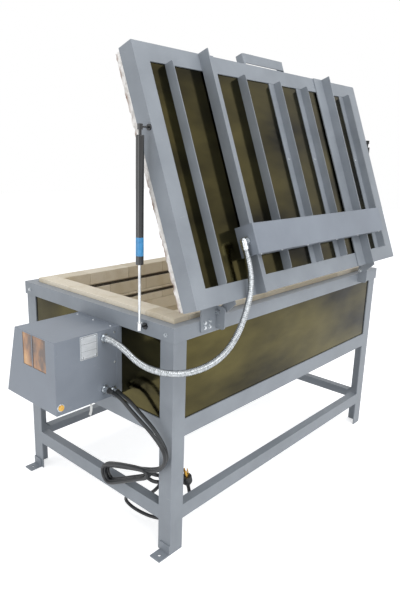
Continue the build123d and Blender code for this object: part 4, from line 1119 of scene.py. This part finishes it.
class KILN_OT_coils(bpy.types.Operator):
    """Wind the heating coils of the walls and the lid"""

    bl_idname = "kiln.coils"
    bl_label = "Heating coils"

    def execute(self, context):
        sizes = context.scene.kiln_coils
        tree = coil_tree()
        shared = {"Radius": sizes.coil_radius, "Wire": sizes.wire_radius, "Material": finish("coil")}
        along_x = (0.0, math.pi / 2, 0.0)
        along_y = (-math.pi / 2, 0.0, 0.0)
        coil_x = CHAMBER_X + GROOVE_DEEP / 2
        coil_y = CHAMBER_Y + GROOVE_DEEP / 2
        floors = [groove - GROOVE_HALF + 6.0 for groove in GROOVE_HEIGHTS]
        long_run = (2 * coil_x - 14.0) / 1000
        short_run = (2 * coil_y - 14.0) / 1000
        long_spots = [row((-coil_x + 7.0, side * coil_y, up)) for up in floors for side in (-1, 1)]
        short_spots = [row((side * coil_x, -coil_y + 7.0, up)) for up in floors for side in (-1, 1)]
        grown("wall_coils_side", point_cloud("long_spots", long_spots), tree, {
            **shared, "Length": long_run, "Turns": long_run / sizes.pitch, "Heading": along_x,
        }, "body", ("wall_elements",))
        grown("wall_coils_end", point_cloud("short_spots", short_spots), tree, {
            **shared, "Length": short_run, "Turns": short_run / sizes.pitch, "Heading": along_y,
        }, "body", ("wall_elements",))
        pitch = 2 * CHAMBER_Y / LID_SLOTS
        lid_run = (2 * CHAMBER_X - 24.0) / 1000
        height = LINING_UNDER + SLOT_DEEP - 6.0
        lid_spots = [
            opened((-CHAMBER_X + 12.0, (at - (LID_SLOTS - 1) / 2) * pitch, height))
            for at in range(LID_SLOTS)]
        grown("lid_coils", point_cloud("lid_spots", lid_spots), tree, {
            **shared, "Length": lid_run, "Turns": lid_run / sizes.pitch, "Heading": along_x,
        }, "lid", ("lid_elements",))
        return {"FINISHED"}


def stops(start, end, step, edges):
    """Give grid lines from start to end about a step apart, with the given edges among them."""
    marks = sorted({start, end, *[edge for edge in edges if start < edge < end]})
    lines = []
    for low, high in zip(marks, marks[1:]):
        count = max(1, round((high - low) / step))
        lines += [low + (high - low) * at / count for at in range(count)]
    return lines + [end]


class KILN_OT_fibre(bpy.types.Operator):
    """Make the torn fibre lining of the lid with its seal and slots"""

    bl_idname = "kiln.fibre"
    bl_label = "Fibre lining"

    def execute(self, context):
        pitch = 2 * CHAMBER_Y / LID_SLOTS
        slot_middles = [(at - (LID_SLOTS - 1) / 2) * pitch for at in range(LID_SLOTS)]
        slot_edges = []
        for middle in slot_middles:
            for edge in (-SLOT_HALF - 1.5, -SLOT_HALF, SLOT_HALF, SLOT_HALF + 1.5):
                slot_edges.append(middle + edge)
        xs = stops(-LID_X, LID_X, 9.0, (
            -CHAMBER_X, -CHAMBER_X + 3, CHAMBER_X - 3, CHAMBER_X,
            -LID_X + 4, LID_X - 4, -LID_X + 10, LID_X - 10))
        ys = stops(LID_FRONT, LID_REAR, 9.0, (
            -CHAMBER_Y, -CHAMBER_Y + 3, CHAMBER_Y - 3, CHAMBER_Y, LID_FRONT + 4, LID_REAR - 4,
            LID_FRONT + 10, LID_REAR - 10, *slot_edges))
        builder = bmesh.new()
        rim_brown = builder.verts.layers.float.new("rim_brown")

        def tear(x, y, z, scale):
            return noise.fractal(Vector((x, y, z)) / scale, 0.9, 2.1, 4)

        grid = []
        for x in xs:
            column = []
            for y in ys:
                inside = abs(x) < CHAMBER_X - 1 and abs(y) < CHAMBER_Y - 1
                height = LINING_UNDER if inside else SEAL_UNDER
                in_slot = inside and min(abs(y - middle) for middle in slot_middles) <= SLOT_HALF + 0.1
                if in_slot:
                    height += SLOT_DEEP
                rim = min(LID_X - abs(x), LID_REAR - y, y - LID_FRONT)
                ragged = max(0.0, 1.0 - rim / 16.0)
                height += 0.8 * abs(tear(x, y, 0.0, 30.0))
                height += ragged * (2.0 + 9.0 * abs(tear(x, y, 7.0, 26.0)))
                vert = builder.verts.new((x, y, height))
                # Rim mask: brown along the ragged rim, in patches, fading up the outer side
                vert[rim_brown] = max(0.0, min(1.0, ragged * 1.6 * (tear(x, y, 3.0, 44.0) + 0.25)))
                column.append(vert)
            grid.append(column)
        for at_x in range(len(xs) - 1):
            for at_y in range(len(ys) - 1):
                builder.faces.new((
                    grid[at_x][at_y], grid[at_x][at_y + 1], grid[at_x + 1][at_y + 1], grid[at_x + 1][at_y]))
        loop = ([column[0] for column in grid] + grid[-1][1:]
                + [column[-1] for column in reversed(grid[:-1])] + list(reversed(grid[0][1:-1])))
        bands = (910.5, 914.0, 918.0, 922.0, 926.0, 930.0, 934.0, PANEL_UNDER)
        below = loop
        for band in bands:
            ring = []
            for vert in loop:
                x, y = vert.co.x, vert.co.y
                out = Vector((
                    math.copysign(1.0, x) if LID_X - abs(x) < 0.5 else 0.0,
                    1.0 if LID_REAR - y < 0.5 else (-1.0 if y - LID_FRONT < 0.5 else 0.0), 0.0))
                if band < 936.0:
                    depth = tear(x, y, band * 2.2, 20.0) * 4.4 + tear(x, y, band, 60.0) * 3.0 - 1.2
                    depth = max(-9.0, min(4.6, depth))
                    wobble = 1.2 * tear(x + 50, y, band, 16.0)
                else:
                    depth, wobble = 0.0, 0.0
                made = builder.verts.new((
                    x + out.x * depth, y + out.y * depth, max(band + wobble, vert.co.z + 0.3)))
                made[rim_brown] = vert[rim_brown] * max(0.0, 1.0 - (band - 906.0) / 14.0)
                ring.append(made)
            count = len(loop)
            for at in range(count):
                after = (at + 1) % count
                builder.faces.new((below[at], below[after], ring[after], ring[at]))
            below = ring
        builder.faces.new(below)
        for vert in builder.verts:
            vert.co = opened(vert.co)
        mesh = mesh_from("torn_fibre_lining", builder, finish("fibre"), 1.4)
        link_piece("torn_fibre_lining", mesh, "lid", ("lid_lining", "lid_seal"))
        return {"FINISHED"}


def hex_head(name, flats, rise, washer):
    """Make a hexagon head on a washer, its corners turned off."""
    builder = bmesh.new()
    radius = flats / math.sqrt(3)
    made = bmesh.ops.create_cone(
        builder, cap_ends=True, segments=6, radius1=radius / 1000, radius2=radius / 1000, depth=rise / 1000)
    for vert in made["verts"]:
        vert.co.z += (rise / 2 + 1.2) / 1000
    top = [edge for edge in builder.edges if all(vert.co.z > (rise + 1.0) / 1000 for vert in edge.verts)]
    bmesh.ops.bevel(builder, geom=top, offset=0.0006, segments=2, affect="EDGES")
    made = bmesh.ops.create_cone(
        builder, cap_ends=True, segments=20, radius1=washer / 1000, radius2=washer * 0.96 / 1000,
        depth=0.0013)
    for vert in made["verts"]:
        vert.co.z += 0.00065
    return bpy.data.objects.new(name, mesh_from(name, builder, finish("zinc"), 0.5))


def pan_head(name, radius, rise):
    """Make a domed screw head with a raised driving bar."""
    builder = drum(name, (
        (0.0, 0.0), (radius, 0.0), (radius, rise * 0.3), (radius * 0.92, rise * 0.62),
        (radius * 0.7, rise * 0.9), (radius * 0.34, rise), (0.0, rise)), 16)
    bar = bmesh.ops.create_cube(builder, size=1.0)
    for vert in bar["verts"]:
        vert.co = Vector((vert.co.x * radius * 1.3, vert.co.y * 0.7, vert.co.z * 0.5 + rise + 0.1)) / 1000
    return bpy.data.objects.new(name, mesh_from(name, builder, finish("zinc"), 0.5))


class KILN_OT_fasteners(bpy.types.Operator):
    """Set the bolts and screws of the frame, control box and lid"""

    bl_idname = "kiln.fasteners"
    bl_label = "Bolts and screws"

    def execute(self, context):
        bolt = hex_head("hex_bolt", 11.0, 4.6, 7.6)
        screw = pan_head("pan_screw", 4.2, 2.6)
        for head in (bolt, screw):
            context.scene.collection.objects.link(head)
        tree = fastener_tree()

        frame_spots, frame_facings = [], []
        for side in (1, -1):
            for y in (419.0, -419.0):
                frame_spots.append(row((side * HALF_LENGTH, y, 858.0)))
                frame_facings.append((side, 0.0, 0.0))
            for along in (40.0, 66.0):
                for up in (862.0, 880.0):
                    frame_spots.append(row((side * (549.0 + along), HALF_DEPTH + 6.0, up)))
                    frame_facings.append((0.0, 1.0, 0.0))
        grown("frame_bolts", point_cloud("frame_spots", frame_spots, frame_facings), tree, {
            "Fastener": bolt, "Material": finish("zinc"), "Seed": 3}, "body")

        box_spots, box_facings = [], []
        for up in (590.0, 700.0, 815.0):
            box_spots.append(row((SCREW_LINE, BOX_SIDE, up)))
            box_facings.append((0.0, 1.0, 0.0))
            # The front side leans back 75 mm over its height
            shift = (up - BOX_LOW) / (BOX_HIGH - BOX_LOW) * 75.0
            box_spots.append(row((SCREW_LINE, -143.8 + shift + 0.4, up)))
            box_facings.append((0.0, -0.963, 0.269))
        for y in (-45.0, 55.0, 155.0):
            box_spots.append(row((SCREW_LINE, y, 833.5)))
            box_facings.append((0.0, 0.0, 1.0))
        for x, z in ((871.0, 751.0), (928.0, 751.0), (871.0, 821.0), (928.0, 821.0)):
            box_spots.append(row((x, BOX_SIDE + 1.0, z)))
            box_facings.append((0.0, 1.0, 0.0))
        grown("box_screws", point_cloud("box_spots", box_spots, box_facings), tree, {
            "Fastener": screw, "Material": finish("zinc"), "Seed": 5}, "body")

        lid_spots, lid_facings = [], []
        up = tuple(opened_facing((0.0, 0.0, 1.0)))
        for face, side in RIB_FACES:
            for share in (0.2, 0.58):
                y = 381.5 - share * 764.0
                lid_spots.append(opened((face + side * 22.0, y, PANEL_UNDER + 1.2 + 3.2)))
                lid_facings.append(up)
        rear = tuple(opened_facing((0.0, 1.0, 0.0)))
        for x in (430.0, 300.0, 120.0, -110.0, -300.0, -515.0):
            lid_spots.append(opened((x, 307.0, LID_TOP + 62.0)))
            lid_facings.append(rear)
        grown("lid_screws", point_cloud("lid_spots", lid_spots, lid_facings), tree, {
            "Fastener": screw, "Material": finish("zinc"), "Seed": 9}, "lid")
        for head in (bolt, screw):
            bpy.data.objects.remove(head)
        return {"FINISHED"}


class KILN_OT_trim(bpy.types.Operator):
    """Make the strut sleeves, plate margin and lamp ring"""

    bl_idname = "kiln.trim"
    bl_label = "Small trim"

    def execute(self, context):
        lid_ball = opened((STRUT_X, LID_EDGE - STRUT_LID[0], LID_TOP - STRUT_LID[1]))
        low_ball = row(STRUT_LOW)
        axis = (lid_ball - low_ball).normalized()
        reach = (lid_ball - low_ball).length
        for name, mirror in (("right", 1.0), ("left", -1.0)):
            # Film sleeve near the lower end of the tube, a tenth of a millimetre thick
            builder = bmesh.new()
            start = reach - STRUT_HEAD - STRUT_TUBE + SLEEVE_START
            stop = start + SLEEVE_LENGTH
            sides = 24
            outside = SLEEVE_RADIUS + 0.00012
            order = ((start, SLEEVE_RADIUS), (start, outside), (stop, outside), (stop, SLEEVE_RADIUS))
            loops = []
            turn = axis.to_track_quat("Z", "Y").to_matrix()
            for along, radius in order:
                loop = []
                for at in range(sides):
                    angle = 2 * math.pi * at / sides
                    spot = low_ball + turn @ Vector((
                        radius * math.cos(angle), radius * math.sin(angle), along))
                    if mirror < 0:
                        spot.x = 2 * MIDDLE_X * 0.001 - spot.x
                    loop.append(builder.verts.new(spot))
                loops.append(loop)
            for first, second in zip(loops, loops[1:] + loops[:1]):
                for at in range(sides):
                    after = (at + 1) % sides
                    builder.faces.new((first[at], first[after], second[after], second[at]))
            piece = "strut_sleeve_" + name
            mesh = mesh_from(piece, builder, finish("sleeve"))
            link_piece(piece, mesh, "strut_tube_" + name)

        # Grey margin round the blank plate
        builder = bmesh.new()
        for x, z, wide, tall in (
            (0.0, 40.0, PLATE_WIDTH, 1.2), (0.0, -40.0, PLATE_WIDTH, 1.2), (-33.6, 0.0, 1.2, 81.2),
            (33.6, 0.0, 1.2, 81.2), (0.0, 14.0, PLATE_WIDTH, 0.8), (0.0, -13.0, PLATE_WIDTH, 0.8),
        ):
            made = bmesh.ops.create_cube(builder, size=1.0)
            for vert in made["verts"]:
                vert.co = row((
                    PLATE_X + x + vert.co.x * wide, BOX_SIDE + 1.05 + vert.co.y * 0.1,
                    PLATE_Z + z + vert.co.z * tall))
        mesh = mesh_from("plate_margin", builder, finish("ink"), 0.0)
        link_piece("plate_margin", mesh, "body")

        # Bezel ring round the lamp
        builder = drum("lamp_bezel", (
            (11.4, 0.0), (14.5, 0.0), (14.5, 1.2), (13.4, 2.6), (11.4, 2.6), (11.4, 0.0)), 28)
        turn = Vector((0.0, 1.0, 0.0)).to_track_quat("Z", "Y").to_matrix().to_4x4()
        place = Matrix.Translation(row((LAMP_X, BOX_SIDE, LAMP_Z))) @ turn
        bmesh.ops.remove_doubles(builder, verts=builder.verts, dist=1e-6)
        bmesh.ops.transform(builder, matrix=place, verts=builder.verts)
        link_piece("lamp_bezel", mesh_from("lamp_bezel", builder, finish("zinc")), "body")
        return {"FINISHED"}


class KILN_PT_panel(bpy.types.Panel):
    """Lists the kiln's operators and sizes"""

    bl_label = "Glass Kiln"
    bl_idname = "KILN_PT_panel"
    bl_space_type = "VIEW_3D"
    bl_region_type = "UI"
    bl_category = "Glass Kiln"

    def draw(self, context):
        for name in STEPS:
            self.layout.operator("kiln." + name)
        for group in ("kiln_finishes", "kiln_coils", "kiln_bricks", "kiln_cords"):
            sizes = getattr(context.scene, group)
            for prop in sizes.__annotations__:
                self.layout.prop(sizes, prop)


STEPS = ("stage", "cords", "conduit", "finishes", "bricks", "coils", "fibre", "fasteners", "trim")
GROUPS = (
    ("kiln_finishes", KilnFinishes), ("kiln_coils", KilnCoils),
    ("kiln_bricks", KilnBricks), ("kiln_cords", KilnCords),
)
CLASSES = (
    KilnFinishes, KilnCoils, KilnBricks, KilnCords, KILN_OT_stage, KILN_OT_cords, KILN_OT_conduit,
    KILN_OT_finishes, KILN_OT_bricks, KILN_OT_coils, KILN_OT_fibre, KILN_OT_fasteners, KILN_OT_trim,
    KILN_PT_panel,
)


def register():
    """Register the classes and the settings."""
    for kind in CLASSES:
        bpy.utils.register_class(kind)
    for name, kind in GROUPS:
        setattr(bpy.types.Scene, name, PointerProperty(type=kind))


def unregister():
    """Take the settings and the classes away."""
    for name, _ in GROUPS:
        delattr(bpy.types.Scene, name)
    for kind in reversed(CLASSES):
        bpy.utils.unregister_class(kind)


def main():
    register()
    for name in STEPS:
        getattr(bpy.ops.kiln, name)()


if __name__ == "__main__":
    main()
